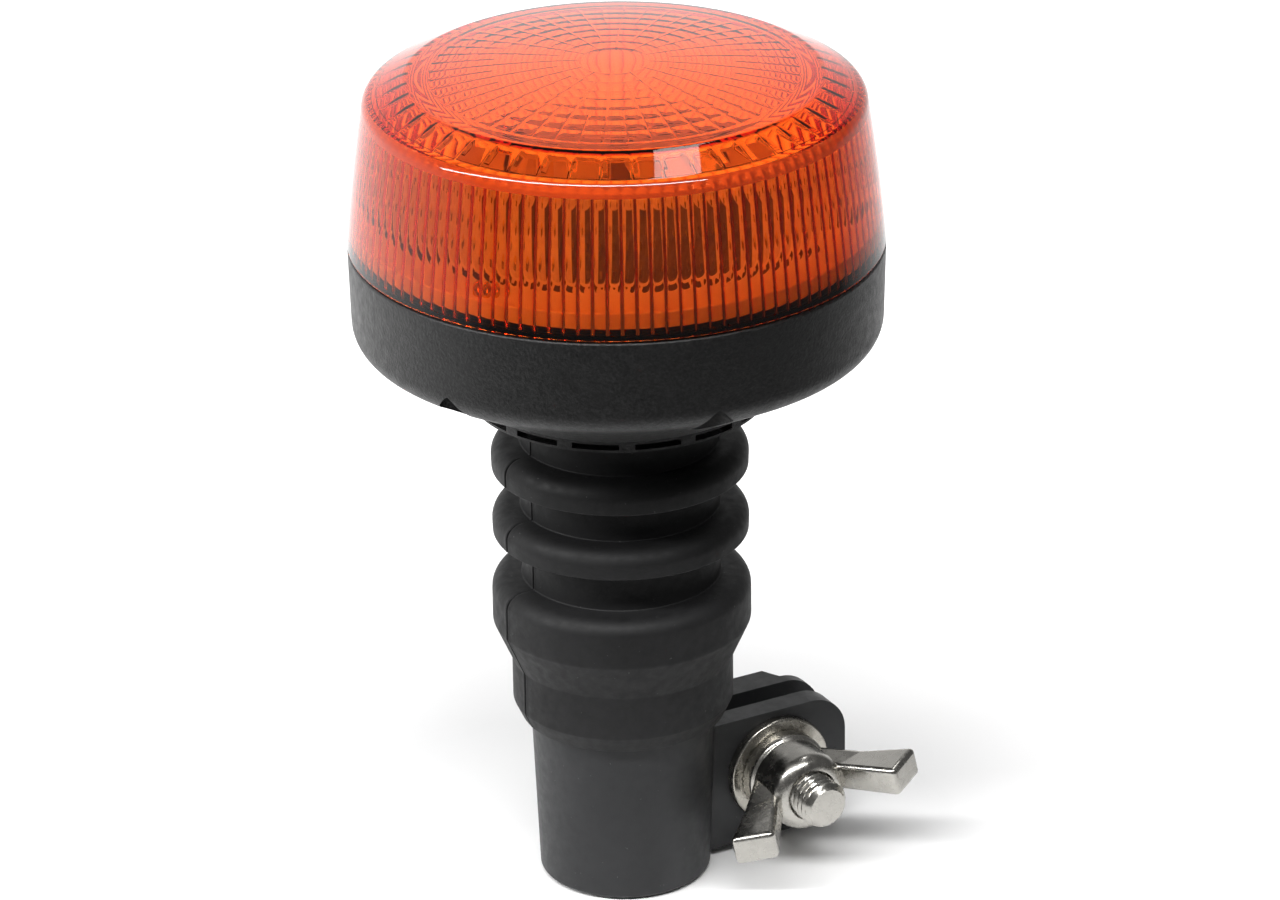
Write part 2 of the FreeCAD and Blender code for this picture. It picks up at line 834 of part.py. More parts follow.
def wing_nut():
    """Forged nut: a collar and a tapered hub about the bolt, and two wings that flare forward."""
    body = new_body("wing_nut", (bolt_offset, -(front_face + d.washer_thickness), d.bolt_height))
    bind(body, "Placement.Rotation.Angle", d.wing_turn)
    body.Placement.Rotation.Axis = FreeCAD.Vector(0, -1, 0)
    hub = sketch_on(body, "hub_profile", "XY_Plane")
    bore = d.bolt_radius + d.nut_bore_gap
    outline(
        hub,
        [
            (bore, ZERO),
            (bore, -d.nut_height),
            (nut_hub_top_radius, -d.nut_height),
            (nut_hub_radius, -d.nut_collar_height),
            (nut_collar_radius, -d.nut_collar_height),
            (nut_collar_radius, ZERO),
        ],
    )
    turned(body, hub)
    wing = sketch_on(body, "wing_outline", "XY_Plane")
    inner_tip = nut_hub_radius + d.wing_tip_inner_reach
    outer_tip = nut_hub_radius + d.wing_tip_outer_reach
    outline(
        wing,
        [
            (wing_root_radius, -d.wing_root_low),
            (wing_root_radius, -d.wing_root_high),
            (inner_tip, -d.wing_tip_inner_height),
            (outer_tip, -d.wing_tip_outer_height),
            (nut_hub_radius, -d.wing_root_low),
        ],
    )
    blade = raised(body, wing, d.wing_thickness, both=True)
    pair = around(body, [blade], length(2), "Y_Axis")
    doc.recompute()
    clear = nut_collar_radius.value
    free_edges = [
        f"Edge{number}"
        for number, edge in enumerate(pair.Shape.Edges, start=1)
        if all(math.hypot(v.X, v.Z) > clear for v in edge.Vertexes)
    ]
    soft = body.newObject("PartDesign::Fillet", "wing_edges")
    soft.Base = (pair, free_edges)
    bind(soft, "Radius", d.wing_edge_round)
    body.Tip = soft
    return body


def flex_stem():
    """Rubber stem: a sleeve over the socket, a flared shoulder, two round flanges and a top flange."""
    body = new_body("flex_stem")
    profile = sketch_on(body, "stem_profile")
    inner = spigot_radius + d.rubber_gap
    bulge = d.flange_bulge
    soft = d.flange_root_round
    spread = root(bulge * bulge + bulge * soft * 2)
    share = bulge / (bulge + soft)
    meeting = d.neck_radius + soft * share
    corners = [
        (inner, rubber_foot),
        (sleeve_foot_radius, rubber_foot),
        (sleeve_radius, sleeve_low),
        (sleeve_radius, sleeve_high),
        (shoulder_radius, flare_high),
        (shoulder_radius, shoulder_high, d.shoulder_round),
        (d.neck_radius, shoulder_high + d.shoulder_fall, soft),
    ]
    for level in (lower_flange, upper_flange):
        corners += [
            (d.neck_radius, level - spread, (d.neck_radius + soft, level - spread, -1)),
            (meeting, level - spread * share, (d.neck_radius, level, 1)),
            (meeting, level + spread * share, (d.neck_radius + soft, level + spread, -1)),
            (d.neck_radius, level + spread),
        ]
    corners += [
        (d.neck_radius, floor_top),
        (stem_top_flange_radius, floor_top),
        (stem_top_flange_radius, plate_low),
        (d.stem_bore_radius, plate_low),
        (d.stem_bore_radius, spigot_top + d.rubber_gap),
        (inner, spigot_top + d.rubber_gap),
        (inner, barb_high),
        (barb_radius + d.rubber_gap, barb_low),
        (barb_radius + d.rubber_gap, barb_low - d.rubber_gap),
        (inner, barb_low - d.rubber_gap),
    ]
    outline(profile, corners)
    turned(body, profile)
    return body


cone_slope = d.base_cone_height / (base_corner_radius - d.skirt_radius)
base_inner_radius = base_corner_radius - d.base_wall
inner_cone_high = floor_top + cone_slope * (base_inner_radius - d.skirt_radius)
mid_floor = floor_top - d.floor_thickness / 2
rim_low = base_top - d.base_rim_thickness
well_top = cone_high + d.well_depth_above_corner
peg_foot = lens_foot - d.peg_length
post_top = deck_top - d.deck_plate


def ring_spot(radius, turn):
    """Across and up sizes of a point on a circle about the axis."""
    return radius * cosine(turn), radius * sine(turn)


def drilled(body, name, level, radius, size, ring, turn, kind="Pocket", back=False):
    """Pad or pocket one round form of a ring of like ones, from a level of the piece."""
    sketch = sketch_on(body, name, "XY_Plane", lift=level)
    circle(sketch, *ring_spot(ring, turn), radius)
    return raised(body, sketch, size, kind, back=back)


def base_housing():
    """Moulded base: round wall, conical underside, slotted skirt, screw columns with wells, posts."""
    body = new_body("base_housing")
    profile = sketch_on(body, "base_profile")
    hole = d.neck_radius + d.neck_hole_gap
    skirt_inner = d.skirt_radius - d.skirt_wall
    outline(
        profile,
        [
            (hole, floor_low),
            (skirt_inner, floor_low),
            (skirt_inner, skirt_low),
            (d.skirt_radius, skirt_low),
            (d.skirt_radius, cone_low),
            (base_corner_radius, cone_high, d.base_corner_round),
            (d.head_radius, base_top, d.base_edge_round),
            (base_rim_inner_radius, base_top),
            (base_rim_inner_radius, rim_low),
            (base_inner_radius, rim_low - (base_inner_radius - base_rim_inner_radius)),
            (base_inner_radius, inner_cone_high),
            (d.skirt_radius, floor_top),
            (hole, floor_top),
        ],
    )
    turned(body, profile)
    turn = d.well_turn
    half_column = d.well_radius + d.column_wall
    column_inner = well_ring - half_column
    column_outer = base_inner_radius + d.base_wall / 2
    column_top = rim_low + d.base_rim_thickness / 2
    column = sketch_on(body, "column", swing=turn)
    outline(
        column,
        [
            (column_inner, mid_floor + cone_slope * (column_inner - d.skirt_radius)),
            (column_outer, mid_floor + cone_slope * (column_outer - d.skirt_radius)),
            (column_outer, column_top),
            (column_inner, column_top),
        ],
    )
    pillar = turned(body, column, sweep=arcsine(half_column / well_ring) * 2)
    around(body, [pillar], d.well_count)
    well = drilled(
        body, "well", cone_low, d.well_radius, well_top - cone_low, well_ring, turn, back=True
    )
    around(body, [well], d.well_count)
    ring = peg_ring
    pocket_radius = d.peg_radius + d.peg_gap
    pocket_depth = base_top - peg_foot + d.peg_gap
    pocket = drilled(body, "peg_pocket", base_top, pocket_radius, pocket_depth, ring, turn)
    around(body, [pocket], d.well_count)
    hole_radius = d.lens_screw_radius + d.screw_hole_gap
    hole_depth = base_top - well_top + d.peg_gap
    screw_hole = drilled(body, "screw_hole", base_top, hole_radius, hole_depth, ring, turn)
    around(body, [screw_hole], d.well_count)
    ring = plate_screw_ring
    boss_height = plate_low - mid_floor
    boss = drilled(
        body, "plate_boss", mid_floor, d.plate_boss_radius, boss_height, ring, d.well_turn, "Pad"
    )
    around(body, [boss], d.plate_screw_count)
    bore_radius = d.plate_screw_radius + d.press_gap
    bore = drilled(
        body, "plate_bore", plate_low, bore_radius, d.plate_boss_hole_depth, ring, d.well_turn
    )
    around(body, [bore], d.plate_screw_count)
    post_low = base_top - d.base_rim_thickness / 2
    ring = post_ring
    post = drilled(
        body, "post", post_low, d.post_radius, post_top - post_low, ring, d.post_turn, "Pad"
    )
    around(body, [post], d.post_count)
    bore_radius = d.deck_screw_radius + d.press_gap
    bore = drilled(body, "post_bore", post_top, bore_radius, d.post_hole_depth, ring, d.post_turn)
    around(body, [bore], d.post_count)
    window = sketch_on(body, "window", swing=d.window_turn)
    sill = skirt_low + d.window_sill
    box_outline(
        window,
        skirt_inner - d.window_height,
        sill,
        d.skirt_radius + d.window_height,
        sill + d.window_height,
    )
    slot = turned(body, window, "Groove", d.window_sweep)
    around(body, [slot], d.window_count)
    return body


def stem_plate():
    """Flat ring over the rubber's top flange."""
    body = new_body("stem_plate")
    disc = sketch_on(body, "plate_disc", "XY_Plane", lift=plate_low)
    circle(disc, ZERO, ZERO, plate_outer_radius)
    circle(disc, ZERO, ZERO, plate_inner_radius)
    raised(body, disc, d.plate_thickness)
    radius = d.plate_screw_radius + d.screw_hole_gap
    ring = plate_screw_ring
    hole = drilled(body, "plate_hole", plate_top, radius, d.plate_thickness * 2, ring, d.well_turn)
    around(body, [hole], d.plate_screw_count)
    return body


def lens_seal():
    """Flat gasket on the base's top edge, scalloped round the lens pegs."""
    body = new_body("lens_seal")
    ring = sketch_on(body, "seal_ring", "XY_Plane", lift=base_top)
    circle(ring, ZERO, ZERO, seal_outer_radius)
    circle(ring, ZERO, ZERO, seal_inner_radius)
    raised(body, ring, d.seal_thickness)
    radius = d.peg_radius + d.peg_gap
    notch = drilled(
        body, "seal_notch", lens_foot, radius, d.seal_thickness * 2, peg_ring, d.well_turn
    )
    around(body, [notch], d.well_count)
    return body


def lens():
    """Moulded lens: a curved wall, a conical rim, a domed top, inner flutes and screw pegs."""
    body = new_body("lens")
    profile = sketch_on(body, "lens_profile")
    rim = lens_foot + d.lens_rim_height
    plateau = rim + d.lens_chamfer_height
    crown = plateau + d.lens_crown
    top_wall = d.lens_top_thickness
    foot_inner = d.head_radius - d.lens_wall
    rim_inner = lens_rim_radius - d.lens_wall
    dome_inner = lens_plateau_radius - top_wall / 4
    rise = d.lens_crown
    dome_curve = (lens_plateau_radius * lens_plateau_radius + rise * rise) / (rise * 2)
    dome_inner_curve = (dome_inner * dome_inner + rise * rise) / (rise * 2)
    outline(
        profile,
        [
            (foot_inner, lens_foot),
            (d.head_radius, lens_foot, (d.lens_side_curve, 1)),
            (lens_rim_radius, rim, d.lens_rim_round),
            (lens_plateau_radius, plateau, (dome_curve, 1)),
            (ZERO, crown),
            (ZERO, crown - top_wall, (dome_inner_curve, -1)),
            (dome_inner, plateau - top_wall),
            (rim_inner, rim - top_wall / 2, (d.lens_side_curve - d.lens_wall, -1)),
        ],
    )
    turned(body, profile)
    ring = peg_ring
    peg = drilled(
        body, "peg", lens_foot, d.peg_radius, d.peg_length, ring, d.well_turn, "Pad", back=True
    )
    around(body, [peg], d.well_count)
    bore_radius = d.lens_screw_radius + d.press_gap
    bore_depth = d.peg_length - d.seal_thickness
    bore = drilled(
        body, "peg_bore", peg_foot, bore_radius, bore_depth, ring, d.well_turn, back=True
    )
    around(body, [bore], d.well_count)
    flute_low = lens_foot + d.flute_foot
    flute_high = rim - d.flute_top_margin
    wall_fall = (foot_inner - rim_inner) / (d.lens_rim_height - top_wall / 2)
    sink = d.flute_cutter_radius - d.flute_depth
    flute_length = flute_high - flute_low
    cutter = body.newObject("PartDesign::SubtractiveCylinder", "flute")
    cutter.AttachmentSupport = (origin_part(body, "XY_Plane"), [""])
    cutter.MapMode = "FlatFace"
    tilt = Length(-math.degrees(math.atan(wall_fall.value)), f"(-1 * atan({wall_fall.text}))")
    cutter.AttachmentOffset = FreeCAD.Placement(
        FreeCAD.Vector(), FreeCAD.Rotation(FreeCAD.Vector(0, 1, 0), tilt.value)
    )
    bind(cutter, "AttachmentOffset.Rotation.Angle", tilt)
    bind(cutter, "AttachmentOffset.Base.x", foot_inner - wall_fall * d.flute_foot - sink)
    bind(cutter, "AttachmentOffset.Base.z", flute_low)
    bind(cutter, "Radius", d.flute_cutter_radius)
    bind(cutter, "Height", flute_length)
    around(body, [cutter], d.flute_count)
    return body


def chassis_deck():
    """Black deck with an outer rim, a raised floor for the reflector and a ledge for the board."""
    body = new_body("chassis_deck")
    profile = sketch_on(body, "deck_profile")
    recess = board_recess_radius
    rim_inner = deck_radius - d.deck_wall
    ledge_low = board_low - d.ledge_thickness
    deck_low = lens_foot + d.deck_foot_gap
    outline(
        profile,
        [
            (board_radius - d.board_ledge, ledge_low),
            (recess + d.deck_wall, ledge_low),
            (recess + d.deck_wall, post_top),
            (rim_inner, post_top),
            (rim_inner, deck_low),
            (deck_radius, deck_low),
            (deck_radius, deck_top),
            (recess, deck_top),
            (recess, board_low),
            (board_radius - d.board_ledge, board_low),
        ],
    )
    turned(body, profile)
    radius = d.deck_screw_radius + d.screw_hole_gap
    hole = drilled(
        body, "deck_hole", deck_top, radius, d.deck_plate * 2, post_ring, d.post_turn
    )
    around(body, [hole], d.post_count)
    return body


reflector_top = deck_top + d.reflector_thickness


def reflector():
    """White ring that holds the board's edge down and throws light outward."""
    body = new_body("reflector")
    ring = sketch_on(body, "reflector_ring", "XY_Plane", lift=deck_top)
    circle(ring, ZERO, ZERO, reflector_outer_radius)
    circle(ring, ZERO, ZERO, reflector_inner_radius)
    raised(body, ring, d.reflector_thickness)
    radius = d.deck_screw_radius + d.screw_hole_gap
    depth = d.reflector_thickness * 2
    hole = drilled(
        body, "reflector_hole", reflector_top, radius, depth, post_ring, d.post_turn
    )
    around(body, [hole], d.post_count)
    return body


def led_board():
    """Round circuit board in the deck's recess, with a hole for the wires to be soldered through."""
    board = doc.addObject("Part::Cylinder", "led_board")
    bind(board, "Radius", board_radius)
    bind(board, "Height", d.board_thickness)
    bind(board, "Placement.Base.z", board_low)
    return board


def leds():
    """Two rings of emitters on the board, each a square surface-mounted package."""
    body = new_body("leds")
    body.AllowCompound = True
    ring_sets = (
        ("outer_emitter", emitter_ring, d.emitter_count),
        ("inner_emitter", d.inner_emitter_ring_radius, d.inner_emitter_count),
    )
    half = d.emitter_width / 2
    for name, ring, count in ring_sets:
        sketch = sketch_on(body, name, "XY_Plane", lift=deck_top)
        box_outline(sketch, ring - half, -half, ring + half, half)
        around(body, [raised(body, sketch, d.emitter_height)], count)
    return body


def inductor():
    """Drum-core coil that hangs under the board."""
    body = new_body("inductor", (d.inductor_offset, ZERO, board_low))
    profile = sketch_on(body, "drum_profile")
    cheek, drop = d.inductor_cheek, d.inductor_height
    waist = d.inductor_radius - d.inductor_groove
    outline(
        profile,
        [
            (ZERO, -drop),
            (d.inductor_radius, -drop),
            (d.inductor_radius, cheek - drop),
            (waist, cheek - drop),
            (waist, -cheek),
            (d.inductor_radius, -cheek),
            (d.inductor_radius, ZERO),
            (ZERO, ZERO),
        ],
    )
    turned(body, profile)
    return body


def capacitors():
    """Two upright cans side by side under the board."""
    cans = []
    for number, sign in enumerate((-1, 1), start=1):
        can = doc.addObject("Part::Cylinder", f"can_{number}")
        bind(can, "Radius", d.capacitor_radius)
        bind(can, "Height", d.capacitor_height)
        bind(can, "Placement.Base.x", -d.capacitor_offset)
        bind(can, "Placement.Base.y", (d.capacitor_radius + d.capacitor_gap / 2) * sign)
        bind(can, "Placement.Base.z", board_low - d.capacitor_height)
        cans.append(can)
    pair = doc.addObject("Part::Compound", "capacitors")
    pair.Links = cans
    return pair


def driver_chip():
    """Flat driver package under the board."""
    chip = doc.addObject("Part::Box", "driver_chip")
    bind(chip, "Length", d.chip_length)
    bind(chip, "Width", d.chip_width)
    bind(chip, "Height", d.chip_height)
    bind(chip, "Placement.Base.x", -(d.chip_length / 2))
    bind(chip, "Placement.Base.y", d.chip_offset)
    bind(chip, "Placement.Base.z", board_low - d.chip_height)
    return chip


connector_low = board_low - d.connector_height


def wire_connector():
    """Two-way block under the board that the wires come up into."""
    block = doc.addObject("Part::Box", "wire_connector")
    bind(block, "Length", d.connector_length)
    bind(block, "Width", d.connector_width)
    bind(block, "Height", d.connector_height)
    bind(block, "Placement.Base.x", -(d.connector_length / 2))
    bind(block, "Placement.Base.y", -(d.connector_width / 2))
    bind(block, "Placement.Base.z", connector_low)
    return block


def wire(name, side, foot_across, foot_level):
    """Wire up the hollow stem: straight ends joined by two equal arcs that shift it sideways."""
    body = new_body(name)
    path = sketch_on(body, f"{name}_path")
    top_across = d.wire_spacing / 2 * side
    shift = top_across - foot_across
    bend_low = foot_level + d.wire_end_length
    bend_high = connector_low - d.wire_end_length
    rise = bend_high - bend_low
    sense = -1 if shift.value > 0 else 1
    bend_radius = (rise * rise + shift * shift) / (shift * (-4 * sense))
    outline(
        path,
        [
            (foot_across, foot_level),
            (foot_across, bend_low, (bend_radius, sense)),
            ((foot_across + top_across) / 2, (bend_low + bend_high) / 2, (bend_radius, -sense)),
            (top_across, bend_high),
            (top_across, connector_low),
        ],
        closed=False,
    )
    section = sketch_on(body, f"{name}_section", "XY_Plane", lift=foot_level)
    circle(section, foot_across, ZERO, d.wire_radius)
    pipe = body.newObject("PartDesign::AdditivePipe", f"{name}_pipe")
    pipe.Profile = section
    pipe.Spine = path
    body.Tip = pipe
    return body


terminal_tab_top = carrier_top + d.terminal_tab_height
nodes = [
    pole_socket(),
    contact_carrier(),
    centre_contact(),
    contact_spring(),
    live_terminal(),
    earth_contact(),
    clamp_bolt(),
    clamp_washer(),
    wing_nut(),
    flex_stem(),
    wire("live_wire", 1, d.terminal_tab_offset - d.terminal_tab_thickness / 2, terminal_tab_top),
    wire("earth_wire", -1, -(tab_end + d.wire_radius), strip_top),
    base_housing(),
    stem_plate(),
    ring_of_screws(
        "stem_screws",
        d.well_turn,
        d.plate_screw_count,
        plate_screw_ring,
        plate_top,
        d.plate_screw_head_radius,
        d.plate_screw_head_height,
        d.plate_screw_radius,
        d.plate_screw_length,
        1,
    ),
    lens_seal(),
    lens(),
    ring_of_screws(
        "lens_screws",
        d.well_turn,
        d.well_count,
        peg_ring,
        well_top,
        d.lens_screw_head_radius,
        d.lens_screw_head_height,
        d.lens_screw_radius,
        lens_foot - well_top - d.lens_screw_tip_gap,
        -1,
    ),
    chassis_deck(),
    reflector(),
    ring_of_screws(
        "reflector_screws",
        d.post_turn,
        d.post_count,
        post_ring,
        reflector_top,
        d.deck_screw_head_radius,
        d.deck_screw_head_height,
        d.deck_screw_radius,
        d.deck_screw_length,
        1,
    ),
    led_board(),
    leds(),
    inductor(),
    capacitors(),
    driver_chip(),
    wire_connector(),
]
doc.recompute()

failed = [item.Label for item in doc.Objects if {"Invalid", "Error"} & set(item.State)]
if failed:
    raise RuntimeError(f"features that failed: {failed}")
for node in nodes:
    if node.Shape.isNull() or not node.Shape.isValid():
        raise RuntimeError(f"{node.Label} has no valid shape")

os.makedirs("parts", exist_ok=True)
for node in nodes:
    node.Shape.exportStep(f"parts/{node.Label}.step")
    box = node.Shape.BoundBox
    print(
        f"{node.Label}: {len(node.Shape.Solids)} solid(s), {node.Shape.Volume:.0f} mm3,"
        f" x {box.XMin:.2f}..{box.XMax:.2f} y {box.YMin:.2f}..{box.YMax:.2f}"
        f" z {box.ZMin:.2f}..{box.ZMax:.2f}"
    )
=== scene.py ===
import math

import bmesh
import bpy
import numpy as np
from mathutils import Matrix, Vector


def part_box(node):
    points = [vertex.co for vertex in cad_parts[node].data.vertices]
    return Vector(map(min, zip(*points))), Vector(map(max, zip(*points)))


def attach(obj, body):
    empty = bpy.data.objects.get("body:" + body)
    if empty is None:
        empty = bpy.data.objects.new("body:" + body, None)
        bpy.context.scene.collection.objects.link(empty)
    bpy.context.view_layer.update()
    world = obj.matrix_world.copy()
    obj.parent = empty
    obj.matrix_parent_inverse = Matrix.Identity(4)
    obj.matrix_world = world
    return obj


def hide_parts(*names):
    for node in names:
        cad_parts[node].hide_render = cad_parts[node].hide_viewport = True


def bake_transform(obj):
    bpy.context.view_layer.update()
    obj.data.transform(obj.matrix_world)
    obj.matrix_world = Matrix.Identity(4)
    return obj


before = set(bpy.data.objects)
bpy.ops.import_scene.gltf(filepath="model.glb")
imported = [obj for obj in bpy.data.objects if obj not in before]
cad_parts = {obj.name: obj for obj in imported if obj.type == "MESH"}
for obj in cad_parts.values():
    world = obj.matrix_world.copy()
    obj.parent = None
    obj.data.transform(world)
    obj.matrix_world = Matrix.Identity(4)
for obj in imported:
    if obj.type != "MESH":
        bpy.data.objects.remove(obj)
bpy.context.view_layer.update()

# Pole socket: one moulding of glass-filled nylon, satin charcoal straight from the mould. It is slit
# up one side, with an ear on each side of the slit, so that the ears can be drawn together on a pole.

MM = 0.001
SOCKET_EDGE = 0.3
SHARP_EDGE = math.radians(40)


def new_material(name, colour, roughness, metallic=0.0, specular=0.5):
    """A material whose shader starts from these values; returns it with its tree and shader."""
    material = bpy.data.materials.new(name)
    material.use_nodes = True
    shader = material.node_tree.nodes["Principled BSDF"]
    shader.inputs["Base Color"].default_value = (*colour, 1.0)
    shader.inputs["Roughness"].default_value = roughness
    shader.inputs["Metallic"].default_value = metallic
    shader.inputs["Specular IOR Level"].default_value = specular
    return material, material.node_tree, shader


def noise(tree, cycles_per_mm, detail=3.0, roughness=0.55, stretch=(1.0, 1.0, 1.0)):
    """Noise on object coordinates with its grain in cycles per millimetre, drawn out where stretched."""
    coordinates = tree.nodes.new("ShaderNodeTexCoord")
    mapping = tree.nodes.new("ShaderNodeMapping")
    mapping.inputs["Scale"].default_value = stretch
    texture = tree.nodes.new("ShaderNodeTexNoise")
    texture.inputs["Scale"].default_value = cycles_per_mm / MM
    texture.inputs["Detail"].default_value = detail
    texture.inputs["Roughness"].default_value = roughness
    tree.links.new(coordinates.outputs["Object"], mapping.inputs["Vector"])
    tree.links.new(mapping.outputs["Vector"], texture.inputs["Vector"])
    return texture.outputs["Fac"]


def spread(tree, value, low, high, start=0.3, stop=0.7):
    """Carry a value from the range start..stop to low..high, held at both ends."""
    mapping = tree.nodes.new("ShaderNodeMapRange")
    mapping.inputs["From Min"].default_value = start
    mapping.inputs["From Max"].default_value = stop
    mapping.inputs["To Min"].default_value = low
    mapping.inputs["To Max"].default_value = high
    tree.links.new(value, mapping.inputs["Value"])
    return mapping.outputs["Result"]


def bump(tree, shader, height, depth):
    """Tilt the surface by a height field whose full depth is given in millimetres."""
    node = tree.nodes.new("ShaderNodeBump")
    node.inputs["Distance"].default_value = depth * MM
    tree.links.new(height, node.inputs["Height"])
    tree.links.new(node.outputs["Normal"], shader.inputs["Normal"])


def two_tone(tree, value, first, second):
    """Go from a first colour to a second by a value; either may be another node's colour."""
    mix = tree.nodes.new("ShaderNodeMix")
    mix.data_type = "RGBA"
    tree.links.new(value, mix.inputs["Factor"])
    for name, colour in (("A", first), ("B", second)):
        if isinstance(colour, tuple):
            mix.inputs[name].default_value = (*colour, 1.0)
        else:
            tree.links.new(colour, mix.inputs[name])
    return mix.outputs["Result"]


def moulded(name, dark, light, dust, gloss, grain, depth, specular=0.5):
    """Moulded plastic or rubber: a cloudy colour with fine dust, roughness between two gloss values, and
    a grain of so many cycles per millimetre that is so many millimetres deep."""
    material, tree, shader = new_material(name, light, gloss[1], 0.0, specular)
    cloudy = two_tone(tree, spread(tree, noise(tree, 0.05), 0.0, 1.0), dark, light)
    specks = spread(tree, noise(tree, 1.3, 2.0), 0.0, 1.0, 0.735, 0.78)
    tree.links.new(two_tone(tree, specks, cloudy, dust), shader.inputs["Base Color"])
    tree.links.new(spread(tree, noise(tree, 0.5, 5.0), *gloss), shader.inputs["Roughness"])
    bump(tree, shader, noise(tree, grain, 4.0, 0.65), depth)
    return material


def dress(node, material):
    """Give a CAD node's own object this material in every slot."""
    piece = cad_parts[node]
    piece.data.materials.clear()
    piece.data.materials.append(material)
    return piece


def soften(piece, width, segments=2):
    """Break a piece's sharp edges by a small round of this width in millimetres."""
    edge = piece.modifiers.new("broken_edge", "BEVEL")
    edge.width = width * MM
    edge.segments = segments
    edge.limit_method = "ANGLE"
    edge.angle_limit = SHARP_EDGE


charcoal_nylon = moulded(
    "charcoal_nylon",
    dark=(0.012, 0.0125, 0.0135),
    light=(0.019, 0.0195, 0.021),
    dust=(0.07, 0.07, 0.07),
    gloss=(0.42, 0.56),
    grain=2.5,
    depth=0.02,
    specular=0.4,
)
soften(dress("pole_socket", charcoal_nylon), SOCKET_EDGE)

# Contacts at the head of the pole bore: a moulded insulator guides a brass plunger on a coil spring,
# a brass disc behind the spring takes the live wire, and a strip in the bore's groove makes the earth.

brass, tree, shader = new_material("brass", (0.62, 0.42, 0.16), 0.3, 1.0)
tarnish = spread(tree, noise(tree, 0.35, 5.0), 0.0, 1.0)
brass_tone = two_tone(tree, tarnish, (0.46, 0.29, 0.1), (0.68, 0.48, 0.2))
tree.links.new(brass_tone, shader.inputs["Base Color"])
tree.links.new(spread(tree, noise(tree, 0.9, 4.0), 0.22, 0.45), shader.inputs["Roughness"])
bump(tree, shader, noise(tree, 3.0), 0.008)
for node in ("centre_contact", "live_terminal", "earth_contact"):
    dress(node, brass)
insulator = moulded(
    "insulator",
    dark=(0.04, 0.04, 0.043),
    light=(0.06, 0.06, 0.065),
    dust=(0.12, 0.12, 0.12),
    gloss=(0.42, 0.6),
    grain=3.0,
    depth=0.015,
)
dress("contact_carrier", insulator)
spring_steel, tree, shader = new_material("spring_steel", (0.5, 0.5, 0.51), 0.3, 1.0)
tree.links.new(spread(tree, noise(tree, 1.5), 0.2, 0.42), shader.inputs["Roughness"])
bump(tree, shader, noise(tree, 4.0), 0.01)
spring_low, spring_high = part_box("contact_spring")
SPRING_WIRE = 0.4
SPRING_TURNS = 5
SPRING_FOOT = spring_low.z / MM
SPRING_HEAD = spring_high.z / MM
SPRING_RADIUS = (spring_high.x - spring_low.x) / 2 / MM - SPRING_WIRE


def grid_faces(rows, columns, loop=False):
    """Quads of a grid whose columns close round an axis; rows close too where the section is a loop."""
    row = np.arange(rows if loop else rows - 1)[:, None]
    column = np.arange(columns)[None, :]
    right = (column + 1) % columns
    below, above = row * columns, (row + 1) % rows * columns
    corners = (below + column, below + right, above + right, above + column)
    return np.stack(corners, axis=-1).reshape(-1, 4)


def turn_of(columns):
    """Evenly spaced angles of one full turn."""
    return np.linspace(0, 2 * math.pi, columns, endpoint=False)


def make_piece(name, points, faces, material, sharp_angle=35.0, marks=None):
    """A mesh object at the origin from points in millimetres. Points that coincide are merged, faces are
    smooth up to the sharp angle, and marks, where given, become the points' attribute mark."""
    mesh = bpy.data.meshes.new(name)
    mesh.from_pydata((np.asarray(points) * MM).tolist(), [], [list(map(int, face)) for face in faces])
    if marks is not None:
        mesh.attributes.new("mark", "FLOAT", "POINT").data.foreach_set("value", marks)
    work = bmesh.new()
    work.from_mesh(mesh)
    bmesh.ops.remove_doubles(work, verts=work.verts, dist=1e-8)
    work.to_mesh(mesh)
    work.free()
    mesh.polygons.foreach_set("use_smooth", np.ones(len(mesh.polygons), bool))
    mesh.set_sharp_from_angle(angle=math.radians(sharp_angle))
    mesh.materials.append(material)
    piece = bpy.data.objects.new(name, mesh)
    bpy.context.scene.collection.objects.link(piece)
    return piece


def follow_bend(piece, node):
    """Bake a piece's transform into its mesh, in place of a CAD node, whose own object is hidden."""
    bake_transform(piece)
    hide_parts(node)


def spring_coil(stations=160, columns=12):
    """A round wire on a helix: the section lies across the helix's own direction, closed at both ends."""
    turn = np.linspace(0, 2 * math.pi * SPRING_TURNS, stations)
    rise = (SPRING_HEAD - SPRING_FOOT - 2 * SPRING_WIRE) / turn[-1]
    inward = np.stack([-np.cos(turn), -np.sin(turn), 0 * turn], axis=-1)
    line = -SPRING_RADIUS * inward + np.outer(SPRING_FOOT + SPRING_WIRE + rise * turn, [0, 0, 1])
    onward = np.stack([-np.sin(turn), np.cos(turn), 0 * turn + rise / SPRING_RADIUS], axis=-1)
    across = np.cross(onward / np.linalg.norm(onward, axis=1)[:, None], inward)
    section = turn_of(columns)[:, None]
    ring = SPRING_WIRE * (np.cos(section) * inward[:, None] + np.sin(section) * across[:, None])
    ends = np.concatenate([[0], np.arange(stations), [stations - 1]])
    size = np.ones(len(ends))
    size[[0, -1]] = 0.0
    points = line[ends][:, None] + ring[ends] * size[:, None, None]
    return points.reshape(-1, 3), grid_faces(len(ends), columns)


spring = make_piece("coil_spring", *spring_coil(), spring_steel)
follow_bend(spring, "contact_spring")

# Clamp bolt: a plated hexagon bolt, forged and rolled, pushed through both ears from the back.
# Its head lies between the two rails of the rear ear, and its threaded end stands out at the front.


def around_axis(radius, height, angles):
    """Points at a radius, height and angle. Radius and height go by row and angles by column, or by grid."""
    shape = (len(height), np.shape(angles)[-1])
    by_row = [part if np.ndim(part) == 2 else np.asarray(part)[:, None] for part in (radius, height)]
    radius, height = (np.broadcast_to(part, shape) for part in by_row)
    return np.stack([radius * np.cos(angles), radius * np.sin(angles), height], axis=-1).reshape(-1, 3)


